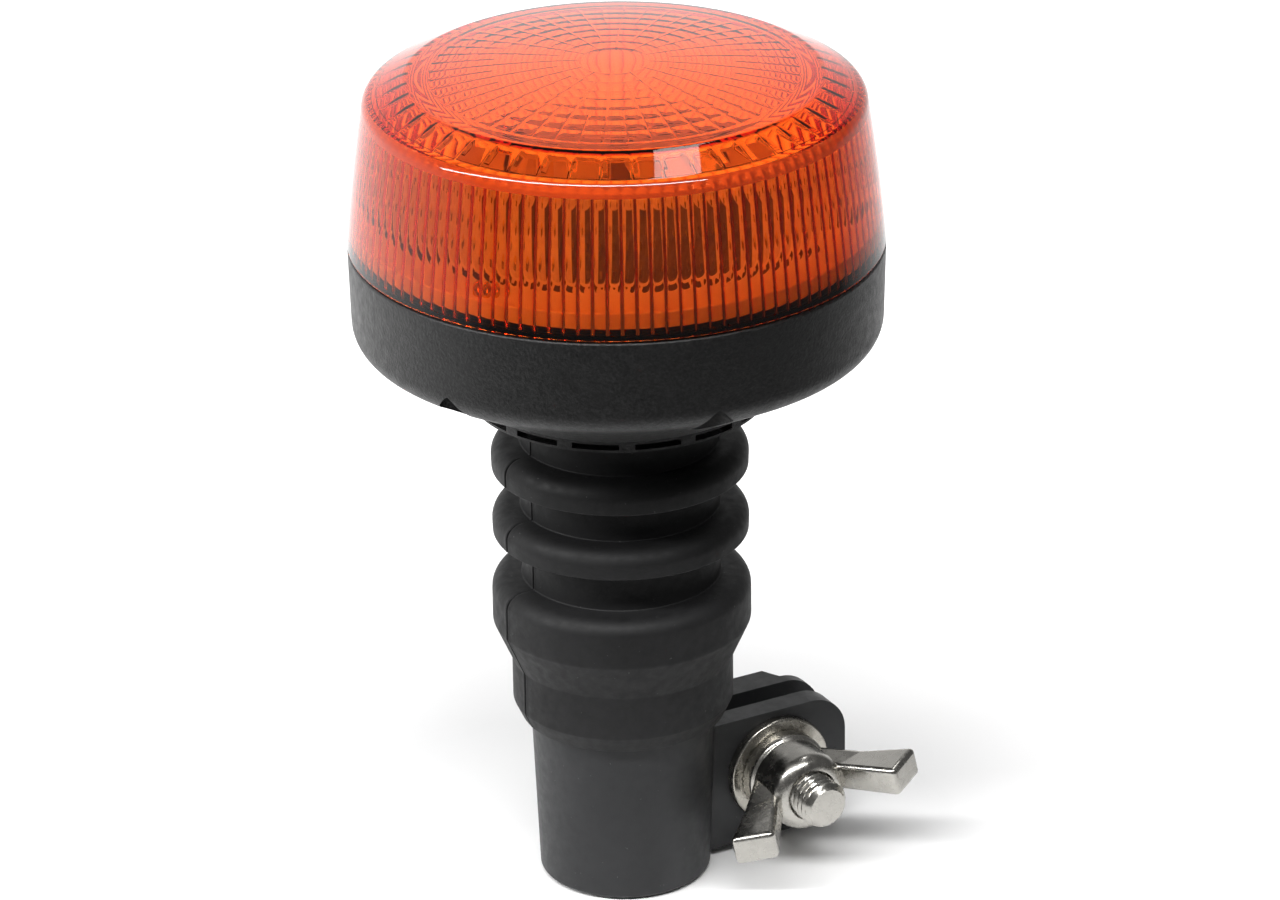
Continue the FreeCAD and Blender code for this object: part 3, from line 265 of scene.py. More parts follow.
def rounded(corners, steps=6):
    """Outline through corners (radius, height, rounding), each rounding an arc tangent to both sides."""
    spots = np.array([corner[:2] for corner in corners], float)
    outline = []
    for index, corner in enumerate(corners):
        spot, size = spots[index], corner[2] if len(corner) > 2 else 0.0
        if not size:
            outline.append(spot[None])
            continue
        back = spots[index - 1] - spot
        onward = spots[(index + 1) % len(spots)] - spot
        back, onward = back / np.linalg.norm(back), onward / np.linalg.norm(onward)
        half = math.acos(np.clip(back @ onward, -1, 1)) / 2
        middle = (back + onward) / np.linalg.norm(back + onward)
        centre = spot + middle * size / math.sin(half)
        aside = np.array([-middle[1], middle[0]])
        side = math.copysign(1.0, aside @ back)
        sweep = np.linspace(1, -1, steps + 1)[:, None] * (math.pi / 2 - half) * side
        outline.append(centre + size * (-middle * np.cos(sweep) + aside * np.sin(sweep)))
    return np.concatenate(outline)


def seat(piece, body, node):
    """Let a piece ride on a body in place of a CAD node, whose own object is hidden."""
    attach(piece, body)
    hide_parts(node)


def plated(name, colour, wear):
    """Plated metal: bright, clouded and slightly wavy, with duller worn patches."""
    material, tree, shader = new_material(name, colour, 0.22, 1.0)
    dull = tuple(part * 0.82 for part in colour)
    cloud = spread(tree, noise(tree, 0.16, 5.0), 0.0, 1.0)
    tree.links.new(two_tone(tree, cloud, dull, colour), shader.inputs["Base Color"])
    tree.links.new(spread(tree, noise(tree, 0.45, 6.0, 0.62), 0.14, wear), shader.inputs["Roughness"])
    bump(tree, shader, noise(tree, 0.35, 4.0), 0.05)
    return material


nickel_steel = plated("nickel_steel", (0.5, 0.485, 0.45), 0.36)
bolt_low, bolt_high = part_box("clamp_bolt")
BOLT_ACROSS = (bolt_low.x + bolt_high.x) / 2 / MM
BOLT_LEVEL = (bolt_low.z + bolt_high.z) / 2 / MM
BOLT_BACK = bolt_high.y / MM
BOLT_LENGTH = (bolt_high.y - bolt_low.y) / MM
BOLT_FLATS = (bolt_high.z - bolt_low.z) / MM
BOLT_HEAD = 6.4
BOLT_RADIUS = 4.95
BOLT_CHAMFER = 1.1
HEAD_CHAMFER_RADIUS = 7.3
HEAD_CHAMFER_DEPTH = 0.9
THREAD_PITCH = 1.5
THREAD_DEPTH = 0.72
THREAD_LENGTH = 20.0
THREAD_FADE = 2.0
THREAD_FLAT = 1 / 6
ROWS_PER_PITCH = 12


def on_bolt(points):
    """Turn points about an upright axis into points about the bolt, measured forward from its head."""
    x, y, z = np.asarray(points).T
    return np.stack([BOLT_ACROSS + x, BOLT_BACK - z, BOLT_LEVEL + y], axis=-1)


def bolt_surface(columns=72):
    """Radius by row and angle: a hexagon cut by a cone for the head, then a cylinder cut by a helical vee
    whose root and crest are flat."""
    angles = turn_of(columns)
    sixth = math.pi / 3
    hexagon = BOLT_FLATS / 2 / np.cos((angles % sixth) - sixth / 2)
    slope = np.linspace(0, HEAD_CHAMFER_DEPTH, 5)
    cone = HEAD_CHAMFER_RADIUS + slope * math.sqrt(3)
    head_rows = np.minimum(hexagon[None], cone[:, None])
    thread_start = BOLT_LENGTH - THREAD_LENGTH
    along = np.linspace(thread_start, BOLT_LENGTH, int(THREAD_LENGTH / THREAD_PITCH * ROWS_PER_PITCH))
    turn = (along[:, None] / THREAD_PITCH - angles[None] / (2 * math.pi)) % 1.0
    vee = np.clip((1 - THREAD_FLAT - np.abs(2 * turn - 1)) / (1 - 2 * THREAD_FLAT), 0, 1)
    fade = np.clip((along - thread_start) / THREAD_FADE, 0, 1)
    thread_rows = BOLT_RADIUS - THREAD_DEPTH * vee * fade[:, None]
    point = BOLT_RADIUS - BOLT_CHAMFER + (BOLT_LENGTH - along)
    thread_rows = np.minimum(thread_rows, point[:, None])
    pole = np.zeros((1, columns))
    shank_rows = np.full((2, columns), BOLT_RADIUS)
    radius = np.concatenate([pole, head_rows, hexagon[None], shank_rows, thread_rows, pole])
    under_head = [BOLT_HEAD, BOLT_HEAD, thread_start - THREAD_FADE]
    height = np.concatenate([[0.0], slope, under_head, along, [BOLT_LENGTH]])
    return on_bolt(around_axis(radius, height, angles)), grid_faces(len(height), columns)


bolt = make_piece("hex_bolt", *bolt_surface(), nickel_steel, 28.0)
seat(bolt, "mount", "clamp_bolt")

# Washer: stamped from sheet and plated, so its front edge is rounded over and its rim shows fine shear
# marks. It lies loose on the bolt, between the front ear and the wing nut.

washer_low, washer_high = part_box("clamp_washer")
WASHER_MARGIN = 0.8
WASHER_RADIUS = (washer_high.x - washer_low.x) / 2 / MM + WASHER_MARGIN
WASHER_HOLE = 5.3
WASHER_BACK = BOLT_BACK - washer_high.y / MM
WASHER_FRONT = BOLT_BACK - washer_low.y / MM
WASHER_BURR = 0.15
WASHER_EDGE = 0.45
SHEAR_MARKS = 150
SHEAR_BAND = 0.2
SHEAR_SHARE = 0.004


def turned_piece(corners, columns, steps=6):
    """A closed outline of corners carried round the axis."""
    outline = rounded(corners, steps)
    points = around_axis(outline[:, 0], outline[:, 1], turn_of(columns))
    return points, grid_faces(len(outline), columns, loop=True)


washer_plate = plated("washer_plate", (0.46, 0.44, 0.395), 0.34)
washer_corners = [
    (WASHER_HOLE, WASHER_BACK, WASHER_BURR),
    (WASHER_RADIUS, WASHER_BACK, WASHER_BURR),
    (WASHER_RADIUS, WASHER_FRONT, WASHER_EDGE),
    (WASHER_HOLE, WASHER_FRONT, WASHER_EDGE),
]
points, faces = turned_piece(washer_corners, 2 * SHEAR_MARKS)
every_other = np.arange(len(points)) % 2
on_rim = np.hypot(points[:, 0], points[:, 1]) > WASHER_RADIUS - SHEAR_BAND
points[:, :2] *= (1 - SHEAR_SHARE * every_other * on_rim)[:, None]
washer = make_piece("plain_washer", on_bolt(points), faces, washer_plate)
seat(washer, "clamp_washer", "clamp_washer")

# Wing nut: a plated forging. A collar bears on the washer, the hub above it is rounded over at the
# front, and two wings with flat forged facets flare forward to broad tips.

NUT_SEAT = WASHER_FRONT
NUT_HEIGHT = 13.0
NUT_BORE = 5.03
COLLAR_RADIUS = 9.0
COLLAR_HEIGHT = 3.1
HUB_RADIUS = 8.25
HUB_DRAFT = 0.1
HUB_ROUND = 2.9
nut_corners = [
    (NUT_BORE, 0.0, 0.3),
    (COLLAR_RADIUS, 0.0, 0.4),
    (COLLAR_RADIUS, COLLAR_HEIGHT, 0.7),
    (HUB_RADIUS + HUB_DRAFT, COLLAR_HEIGHT + 0.5, 0.3),
    (HUB_RADIUS, NUT_HEIGHT, HUB_ROUND),
    (NUT_BORE + 0.5, NUT_HEIGHT, 0.25),
    (NUT_BORE, NUT_HEIGHT - 0.7, 0.2),
]
WING_TURN = math.radians(13)
WING_ROOT = np.array([[7.0, 3.0], [6.2, 10.4]])
WING_TIP = np.array([[22.2, 18.2], [14.4, 22.6]])
WING_CREASE = np.array([[0.5], [0.1]])
WING_WIDTHS = np.array([[8.4, 6.0], [5.6, 6.0], [6.6, 6.4]])
WING_EDGE = 1.1


def wing_solid(side):
    """A prism of four corners at root, crease and tip: the wing's low and high edge, each with half its
    width to either side, turned about the hub. Each face between two of them is a flat facet."""
    crease = WING_ROOT + WING_CREASE * (WING_TIP - WING_ROOT)
    edge, sign = np.array([0, 1, 1, 0]), np.array([1, 1, -1, -1])
    reach, height = np.stack([WING_ROOT, crease, WING_TIP])[:, edge].transpose(2, 0, 1)
    across = sign * WING_WIDTHS[:, edge] / 2
    turn = WING_TURN + math.pi * side
    x = reach * math.cos(turn) - across * math.sin(turn)
    y = reach * math.sin(turn) + across * math.cos(turn)
    root_face = [[3, 2, 1, 0]]
    tip_face = [[8, 9, 10, 11]]
    faces = grid_faces(len(reach), len(edge)).tolist() + root_face + tip_face
    return np.stack([x, y, height], axis=-1).reshape(-1, 3), faces


points, faces = turned_piece(nut_corners, 96, 8)
nut = make_piece("wing_nut_hub", on_bolt(points + [0, 0, NUT_SEAT]), faces, nickel_steel, 30.0)
seat(nut, "wing_nut", "wing_nut")
for side in (0, 1):
    points, faces = wing_solid(side)
    wing = make_piece(f"wing_{side + 1}", on_bolt(points + [0, 0, NUT_SEAT]), faces, nickel_steel, 3.0)
    soften(wing, WING_EDGE, 4)
    seat(wing, "wing_nut", "wing_nut")

# Flexible stem: one moulding of black rubber, pushed over the socket's barbed spigot. Its two flanges
# let it bend, and a fine parting line runs up both sides where the mould's halves met.

PARTING_ANGLES = np.radians([0.35, 0.7, 1.2, 1.9])
PARTING_DEPTH = 0.8
PARTING_LIP = 0.08
FOOT_GAP = 0.55
STEM_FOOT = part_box("flex_stem")[0].z / MM + FOOT_GAP
STEM_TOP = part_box("flex_stem")[1].z / MM
FOOT_RADIUS = 20.6
SLEEVE_RADIUS = 22.2
SLEEVE_FOOT = 38.5
SLEEVE_TOP = 47.6
SLEEVE_BORE = 17.1
SHOULDER_RADIUS = 25.9
SHOULDER_FOOT = 56.0
SHOULDER_TOP = 65.8
NECK_RADIUS = 19.85
FLANGE_RADIUS = 25.7
FLANGE_DRAFT = 0.2
FLANGE_ROUND = 3.2
FLANGES = ((75.1, 80.9), (89.0, 94.9))
STEM_CUT = 84.25
STEM_BORE = 11.0
LONGEST_RUN = 1.2
SEAT_RADIUS = 25.0
SEAT_THICKNESS = 3.0
BASE_FLOOR_TOP = STEM_TOP - SEAT_THICKNESS
SPIGOT_GAP = 0.1
SPIGOT_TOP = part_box("pole_socket")[1].z / MM + SPIGOT_GAP
BARB_RADIUS = 20.6
BARB_FOOT = 55.9
BARB_EDGE = 56.0
BARB_TOP = 61.0
BENDS = (("mount", "stem", 67.2, 84.2), ("stem", "head", 84.3, 104.4))


def flange(low, high):
    """Corners of one flange: a flat underside with a crisp edge, an upright rim and a round on top."""
    return [
        (NECK_RADIUS, low, 0.5),
        (FLANGE_RADIUS - FLANGE_DRAFT, low, 0.3),
        (FLANGE_RADIUS, high, FLANGE_ROUND),
        (NECK_RADIUS, high, 0.3),
    ]


lower_stem = [
    (SLEEVE_BORE, STEM_FOOT),
    (FOOT_RADIUS, STEM_FOOT, 0.3),
    (SLEEVE_RADIUS, SLEEVE_FOOT, 1.0),
    (SLEEVE_RADIUS, SLEEVE_TOP, 1.2),
    (SHOULDER_RADIUS, SHOULDER_FOOT, 1.6),
    (SHOULDER_RADIUS, SHOULDER_TOP - 0.3, FLANGE_ROUND),
    (NECK_RADIUS, SHOULDER_TOP, 0.3),
    *flange(*FLANGES[0]),
    (NECK_RADIUS, STEM_CUT),
    (STEM_BORE, STEM_CUT),
    (STEM_BORE, SPIGOT_TOP),
    (SLEEVE_BORE, SPIGOT_TOP),
    (SLEEVE_BORE, BARB_TOP),
    (BARB_RADIUS, BARB_EDGE),
    (BARB_RADIUS, BARB_FOOT),
    (SLEEVE_BORE, BARB_FOOT),
]
upper_stem = [
    (STEM_BORE, STEM_CUT),
    (NECK_RADIUS, STEM_CUT),
    *flange(*FLANGES[1]),
    (NECK_RADIUS, BASE_FLOOR_TOP),
    (SEAT_RADIUS, BASE_FLOOR_TOP),
    (SEAT_RADIUS, STEM_TOP),
    (STEM_BORE, STEM_TOP),
]


def rubber_turn(columns=192):
    """Angles of one turn, set closer on each side of the two parting lines."""
    fine = np.concatenate([-PARTING_ANGLES[::-1], [0.0], PARTING_ANGLES])
    even = turn_of(columns)
    clear = np.abs((even + math.pi / 2) % math.pi - math.pi / 2) > PARTING_ANGLES[-1]
    return np.sort(np.concatenate([even[clear], fine % (2 * math.pi), fine + math.pi]))


def divided(outline, longest):
    """The same closed outline with its long straight runs divided evenly, so that they can bend."""
    ends = np.roll(outline, -1, axis=0)
    counts = np.ceil(np.linalg.norm(ends - outline, axis=1) / longest).astype(int).clip(1)
    runs = [np.linspace(a, b, n, endpoint=False) for a, b, n in zip(outline, ends, counts)]
    return np.concatenate(runs)


def rubber_half(corners):
    """A closed outline carried round. Its outer side sinks in a vee along each parting line, with a low
    lip of bell shape beside it."""
    outline = divided(rounded(corners, 12), LONGEST_RUN)
    angles = rubber_turn()
    from_line = np.abs((angles + math.pi / 2) % math.pi - math.pi / 2)
    groove = PARTING_DEPTH * np.clip(1 - from_line / PARTING_ANGLES[1], 0, 1)
    lip = PARTING_LIP * np.exp(-(((from_line - PARTING_ANGLES[2]) / PARTING_ANGLES[0]) ** 2))
    outer = (outline[:, 0] > NECK_RADIUS - 1.5) & (outline[:, 1] < BASE_FLOOR_TOP - 1)
    radius = outline[:, :1] - (groove - lip)[None] * outer[:, None]
    points = around_axis(radius, outline[:, 1], angles)
    return points, grid_faces(len(outline), len(angles), loop=True)


black_rubber = moulded(
    "black_rubber",
    dark=(0.006, 0.006, 0.0063),
    light=(0.011, 0.011, 0.0115),
    dust=(0.06, 0.06, 0.06),
    gloss=(0.54, 0.7),
    grain=1.6,
    depth=0.03,
    specular=0.32,
)
for name, corners, bend in (("lower_stem", lower_stem, BENDS[0]), ("upper_stem", upper_stem, BENDS[1])):
    rubber = make_piece(name, *rubber_half(corners), black_rubber, 50.0)
    follow_bend(rubber, "flex_stem")

# Two wires up the hollow stem: stranded copper in plastic insulation, soldered to the contacts below
# and held in the connector under the board above.

WIRE_RADIUS = 0.9
WIRE_END = 8.0


def wire_tube(node, low, high, rows=40, columns=16):
    """The stretch of a wire between two levels: a tube whose line is upright at both ends of the wire and
    shifts sideways by two equal arcs between them."""
    box_low, box_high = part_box(node)
    foot = box_low.x / MM + WIRE_RADIUS
    top = box_high.x / MM - WIRE_RADIUS
    start, end = box_low.z / MM + WIRE_END, box_high.z / MM - WIRE_END
    level = np.linspace(low, high, rows)
    share = np.clip((level - start) / (end - start), 0, 1)
    rise, shift = end - start, top - foot
    bend = (rise**2 + shift**2) / (4 * abs(shift))
    near = np.minimum(share, 1 - share) * rise
    part = (bend - np.sqrt(bend**2 - near**2)) * math.copysign(1, shift)
    across = np.where(share < 0.5, foot + part, top - part)
    angles = turn_of(columns)
    closed = np.concatenate([[0], np.arange(len(level)), [len(level) - 1]])
    radius = np.full(len(closed), WIRE_RADIUS)
    radius[[0, -1]] = 0.0
    points = around_axis(radius, level[closed], angles).reshape(len(closed), columns, 3)
    points[..., 0] += across[closed][:, None]
    return points.reshape(-1, 3), grid_faces(len(closed), columns)


def insulation(name, dark, light):
    """Extruded insulation: a slightly uneven colour with faint lengthwise drag."""
    material, tree, shader = new_material(name, light, 0.4)
    drag = spread(tree, noise(tree, 0.8, 3.0, 0.5, (1, 1, 0.1)), 0.0, 1.0)
    tree.links.new(two_tone(tree, drag, dark, light), shader.inputs["Base Color"])
    tree.links.new(spread(tree, drag, 0.34, 0.46, 0.0, 1.0), shader.inputs["Roughness"])
    return material


red_wire = insulation("red_insulation", (0.3, 0.012, 0.01), (0.42, 0.022, 0.016))
black_wire = insulation("black_insulation", (0.012, 0.012, 0.012), (0.024, 0.024, 0.024))
for node, material, slot in (("live_wire", red_wire, "red_wire"), ("earth_wire", black_wire, "black_wire")):
    low, high = (corner.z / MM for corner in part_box(node))
    halves = (("lower", BENDS[0], low, STEM_CUT), ("upper", BENDS[1], STEM_CUT, high))
    for half, bend, start, end in halves:
        piece = make_piece(f"{node}_{half}", *wire_tube(node, start, end), material)
        follow_bend(piece, node)

# Base housing and the deck inside it: injection-moulded black plastic whose outer faces carry the
# fine even grain of a spark-eroded mould. A steel plate clamps the rubber's top flange on its floor,
# and a thin gasket seals it to the lens.

BASE_EDGE = 0.25
black_plastic, tree, shader = new_material("black_plastic", (0.007, 0.007, 0.0075), 0.5)
sparks = spread(tree, noise(tree, 1.7, 2.0), 0.0, 1.0, 0.4, 0.75)
spark_tone = two_tone(tree, sparks, (0.0015, 0.0015, 0.0016), (0.013, 0.013, 0.013))
tree.links.new(spark_tone, shader.inputs["Base Color"])
tree.links.new(spread(tree, noise(tree, 0.5, 5.0), 0.36, 0.5), shader.inputs["Roughness"])
bump(tree, shader, noise(tree, 1.5, 4.0, 0.65), 0.16)
soften(dress("base_housing", black_plastic), BASE_EDGE)
dress("stem_plate", nickel_steel)
DEEP_BLACK = {"dark": (0.004, 0.004, 0.004), "light": (0.008, 0.008, 0.008), "dust": (0.02, 0.02, 0.02)}
deck_plastic = moulded("deck_plastic", **DEEP_BLACK, gloss=(0.38, 0.52), grain=1.5, depth=0.03, specular=0.3)
dress("chassis_deck", deck_plastic)
seal_rubber = moulded("seal_rubber", **DEEP_BLACK, gloss=(0.52, 0.68), grain=2.0, depth=0.02, specular=0.3)
dress("lens_seal", seal_rubber)

# Screws: plated pan-head screws with a cross recess. Six hold the lens from below, three hold the
# plate on the rubber, and three yellow ones hold the reflector and the deck.

WELL_TURN = 23.0
CROWN_FALL = 0.35
SLOT_HALF = 0.13
SLOT_REACH = 0.62
SLOT_DEPTH = 0.55
SLOT_FLANK = 0.4


def screw_surface(head_radius, head_height, shank_radius, shank_length):
    """A pan head whose crown falls with the cube of the radius, with two crossed slots sunk into it, and
    a plain shank below; slot sizes are shares of the head's."""
    angles = turn_of(48)
    share = np.linspace(1, 0, 15)[:, None]
    x, y = share * np.cos(angles), share * np.sin(angles)
    crown = head_height * (1 - CROWN_FALL * share**3)
    bars = []
    for lengthwise, sideways in ((x, y), (y, x)):
        flank = np.clip((1 - np.abs(sideways) / SLOT_HALF) / SLOT_FLANK, 0, 1)
        bars.append(flank * np.clip(2 - 2 * np.abs(lengthwise) / SLOT_REACH, 0, 1))
    crown = crown - head_height * SLOT_DEPTH * np.maximum(*bars)
    below = np.array([[0.0], [shank_radius], [shank_radius], [head_radius]])
    below_level = np.array([[-shank_length], [-shank_length], [0.0], [0.0]])
    flat = np.ones_like(angles)
    radius = np.concatenate([below, share * head_radius]) * flat
    height = np.concatenate([below_level * flat, crown])
    return around_axis(radius, height, angles), grid_faces(len(height), len(angles))


def ring_of_screws(node, ring, count, first_angle, head, shank_radius, material, slot, upright=True):
    """Like screws on a circle, one mesh for the set, as long as the CAD screws; head gives its radius and
    height, and screws that aren't upright are turned over about the X axis."""
    low, high = (corner.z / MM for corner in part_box(node))
    points, faces = screw_surface(*head, shank_radius, high - low - head[1])
    seat_level = high - head[1] if upright else low + head[1]
    if not upright:
        points = points * [1, -1, -1]
    turn = np.radians(first_angle + 360 / count * np.arange(count))
    spots = np.stack([ring * np.cos(turn), ring * np.sin(turn), 0 * turn + seat_level], axis=-1)
    all_points = (spots[:, None] + points).reshape(-1, 3)
    all_faces = (np.arange(count)[:, None, None] * len(points) + faces).reshape(-1, 4)
    seat(make_piece(f"{node}_set", all_points, all_faces, material), "head", node)


gold_plate = plated("gold_plate", (0.86, 0.6, 0.2), 0.3)
steel = {"material": nickel_steel, "slot": "nickel_steel"}
gold = {"material": gold_plate, "slot": "gold_screw"}
ring_of_screws("lens_screws", 48.9, 6, WELL_TURN, head=(2.7, 2.0), shank_radius=1.5, upright=False, **steel)
ring_of_screws("stem_screws", 28.6, 3, WELL_TURN, head=(2.6, 1.8), shank_radius=1.2, **steel)
ring_of_screws("reflector_screws", 45.0, 3, 90.1, head=(2.8, 1.6), shank_radius=1.2, **gold)

# Reflector ring, circuit board and what the board carries: a white moulded ring clamps the edge of a
# round board, pale round its emitters. Thin dark wavy lines on the ring are painted shade, and a dark
# strip across the board's middle and its emitters is a painted shadow. The flash driver's parts
# and the wires' connector are soldered on below.

SHADOW_STRIP_TURN = math.radians(-28.5)
SHADOW_STRIP_ACROSS = (-5.0, 19.0)
SHADOW_STRIP_ALONG = (-33.0, 5.0)
SHADOW_STRIP_EDGE = 0.5
SHADE_LINE_RING = (36.8, 39.8)
SHADE_LINE_EDGE = 0.1


def distance_from_axis(tree):
    """Distance of a surface point from the upright axis, in metres, from object coordinates."""
    coordinates = tree.nodes.new("ShaderNodeTexCoord")
    flat = tree.nodes.new("ShaderNodeVectorMath")
    flat.operation = "MULTIPLY"
    flat.inputs[1].default_value = (1.0, 1.0, 0.0)
    far = tree.nodes.new("ShaderNodeVectorMath")
    far.operation = "LENGTH"
    tree.links.new(coordinates.outputs["Object"], flat.inputs[0])
    tree.links.new(flat.outputs["Vector"], far.inputs[0])
    return far.outputs["Value"]


def product(tree, first, second):
    """Two values multiplied."""
    node = tree.nodes.new("ShaderNodeMath")
    node.operation = "MULTIPLY"
    tree.links.new(first, node.inputs[0])
    tree.links.new(second, node.inputs[1])
    return node.outputs["Value"]


def place_along(tree, direction, space="Object"):
    """Place of a point along a direction: the dot product of the direction and the point's coordinates."""
    coordinates = tree.nodes.new("ShaderNodeTexCoord")
    share = tree.nodes.new("ShaderNodeVectorMath")
    share.operation = "DOT_PRODUCT"
    share.inputs[1].default_value = direction
    tree.links.new(coordinates.outputs[space], share.inputs[0])
    return share.outputs["Value"]


def between(tree, place, limits, edge):
    """1 between two limits and 0 outside them, over an edge of this half width, all in millimetres."""
    first, last = limits
    after = spread(tree, place, 0.0, 1.0, (first - edge) * MM, (first + edge) * MM)
    before = spread(tree, place, 1.0, 0.0, (last - edge) * MM, (last + edge) * MM)
    return product(tree, after, before)


def on_painted_shadow(tree):
    """1 on the painted shadow, a dark strip across the board's middle, and 0 outside it."""
    across = place_along(tree, (math.cos(SHADOW_STRIP_TURN), math.sin(SHADOW_STRIP_TURN), 0.0))
    length = place_along(tree, (-math.sin(SHADOW_STRIP_TURN), math.cos(SHADOW_STRIP_TURN), 0.0))
    across_it = between(tree, across, SHADOW_STRIP_ACROSS, SHADOW_STRIP_EDGE)
    return product(tree, across_it, between(tree, length, SHADOW_STRIP_ALONG, SHADOW_STRIP_EDGE))


white_reflector, tree, shader = new_material("white_reflector", (0.84, 0.84, 0.82), 0.3)
shade = spread(tree, noise(tree, 0.08, 4.0), 0.0, 1.0)
white = two_tone(tree, shade, (0.84, 0.84, 0.82), (0.92, 0.92, 0.9))
# Painted shade: thin dark wavy lines on the ring, 36.8 to 39.8 mm from the axis.
painted_shade_lines = spread(tree, noise(tree, 0.16, 1.0), 0.0, 1.0, 0.49, 0.51)
painted_shade_lines = product(tree, painted_shade_lines, between(tree, distance_from_axis(tree), SHADE_LINE_RING, SHADE_LINE_EDGE))
tree.links.new(two_tone(tree, painted_shade_lines, white, (0.01, 0.01, 0.01)), shader.inputs["Base Color"])
tree.links.new(spread(tree, noise(tree, 0.5), 0.3, 0.5), shader.inputs["Roughness"])
reflector_low, reflector_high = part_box("reflector")
RING_INNER = 35.2
RING_OUTER = 49.2
RING_FOOT = reflector_low.z / MM
RING_TOP = reflector_high.z / MM
LIP_INNER = 48.75
LIP_DROP = 2.5
LIP_FOOT = RING_FOOT - LIP_DROP
reflector_corners = [
    (RING_INNER, RING_FOOT),
    (LIP_INNER, RING_FOOT),
    (LIP_INNER, LIP_FOOT),
    (RING_OUTER, LIP_FOOT),
    (RING_OUTER, RING_TOP, 0.4),
    (RING_INNER, RING_TOP),
]
ring = make_piece("reflector_ring", *turned_piece(reflector_corners, 180), white_reflector)
seat(ring, "head", "reflector")
# The board's dark middle strip is a painted shadow on its pale solder mask.
circuit_board, tree, shader = new_material("circuit_board", (0.7, 0.7, 0.68), 0.4)
copper = spread(tree, noise(tree, 0.22, 1.0), 0.0, 1.0, 0.52, 0.54)
pale_mask = two_tone(tree, copper, (0.74, 0.74, 0.72), (0.68, 0.68, 0.66))
painted_shadow_solder = two_tone(tree, copper, (0.06, 0.06, 0.06), (0.09, 0.09, 0.085))
tree.links.new(two_tone(tree, on_painted_shadow(tree), pale_mask, painted_shadow_solder), shader.inputs["Base Color"])
tree.links.new(spread(tree, noise(tree, 0.7), 0.34, 0.5), shader.inputs["Roughness"])
bump(tree, shader, copper, 0.03)
dress("led_board", circuit_board)
emitter, tree, shader = new_material("emitter", (0.8, 0.62, 0.2), 0.3)
facet = tree.nodes.new("ShaderNodeNewGeometry")
upright = tree.nodes.new("ShaderNodeSeparateXYZ")
tree.links.new(facet.outputs["Normal"], upright.inputs["Vector"])
pale = two_tone(tree, spread(tree, noise(tree, 0.6), 0.0, 1.0), (0.6, 0.5, 0.3), (0.7, 0.6, 0.4))
# Emitters under the strip are painted dark too: painted shadow.
top_with_painted_shadow = two_tone(tree, on_painted_shadow(tree), pale, (0.06, 0.055, 0.05))
on_top = spread(tree, upright.outputs["Z"], 0.0, 1.0, 0.4, 0.6)
tree.links.new(two_tone(tree, on_top, (0.3, 0.27, 0.22), top_with_painted_shadow), shader.inputs["Base Color"])
dress("leds", emitter)
ferrite = moulded(
    "ferrite",
    dark=(0.035, 0.035, 0.037),
    light=(0.06, 0.06, 0.062),
    dust=(0.1, 0.1, 0.1),
    gloss=(0.5, 0.7),
    grain=2.0,
    depth=0.03,
)
for node in ("inductor", "driver_chip"):
    dress(node, ferrite)
can, tree, shader = new_material("can", (0.55, 0.55, 0.57), 0.35, 1.0)
drawn = noise(tree, 0.6, 4.0, 0.5, (1, 1, 0.05))
tree.links.new(spread(tree, drawn, 0.25, 0.45), shader.inputs["Roughness"])
dress("capacitors", can)
dress("wire_connector", insulator)

# Lens: clear amber acrylic, moulded in one piece and polished outside, with a rounded rim and a low
# dome. Flutes with arched tops line its wall inside; tiles, rings and spokes in relief spread the light
# above. Six hollow pegs under its foot take the screws.

LENS_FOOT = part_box("lens_seal")[1].z / MM
LENS_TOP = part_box("lens")[1].z / MM
PEG_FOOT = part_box("lens")[0].z / MM
HEAD_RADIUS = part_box("base_housing")[1].x / MM
WALL_THICKNESS = 2.6
WALL_TAPER = 3.8
WALL_HEIGHT = 29.8
WALL_CURVE = 410.0
RIM_RADIUS = HEAD_RADIUS - WALL_TAPER
RIM_LEVEL = LENS_FOOT + WALL_HEIGHT
RIM_ROUND = 3.0
SLOPE_WIDTH = 8.1
SLOPE_RISE = 3.8
DOME_RADIUS = RIM_RADIUS - SLOPE_WIDTH
DOME_LEVEL = RIM_LEVEL + SLOPE_RISE
DOME_RISE = LENS_TOP - DOME_LEVEL
CREASE_ROUND = 3.0
TOP_THICKNESS = 2.4
RIM_INNER = RIM_RADIUS - WALL_THICKNESS
CEILING = RIM_LEVEL - TOP_THICKNESS / 2
DOME_INNER = DOME_RADIUS - TOP_THICKNESS / 4
RIM_GLOW_RADIUS = RIM_INNER + 1.2
RIM_GLOW_FOOT = CEILING - 1.4
RIM_GLOW_TOP = RIM_LEVEL + 0.2
OUTER_COLUMNS = 288


def bowed(start, end, radius, count):
    """Points of the arc of this radius that bows outward between two points of the profile."""
    start, end = np.array(start), np.array(end)
    chord = end - start
    span = np.linalg.norm(chord)
    share = np.linspace(-0.5, 0.5, count)
    sag = np.sqrt(radius**2 - (share * span) ** 2) - math.sqrt(radius**2 - span**2 / 4)
    out = np.array([chord[1], -chord[0]]) / span
    return (start + end) / 2 + share[:, None] * chord + sag[:, None] * out


def dome(radius, edge_radius, edge_level):
    """Height of the spherical cap that rises by the dome's rise from its edge to the axis."""
    curve = (edge_radius**2 + DOME_RISE**2) / (2 * DOME_RISE)
    return edge_level + DOME_RISE - curve + np.sqrt(curve**2 - np.asarray(radius) ** 2)


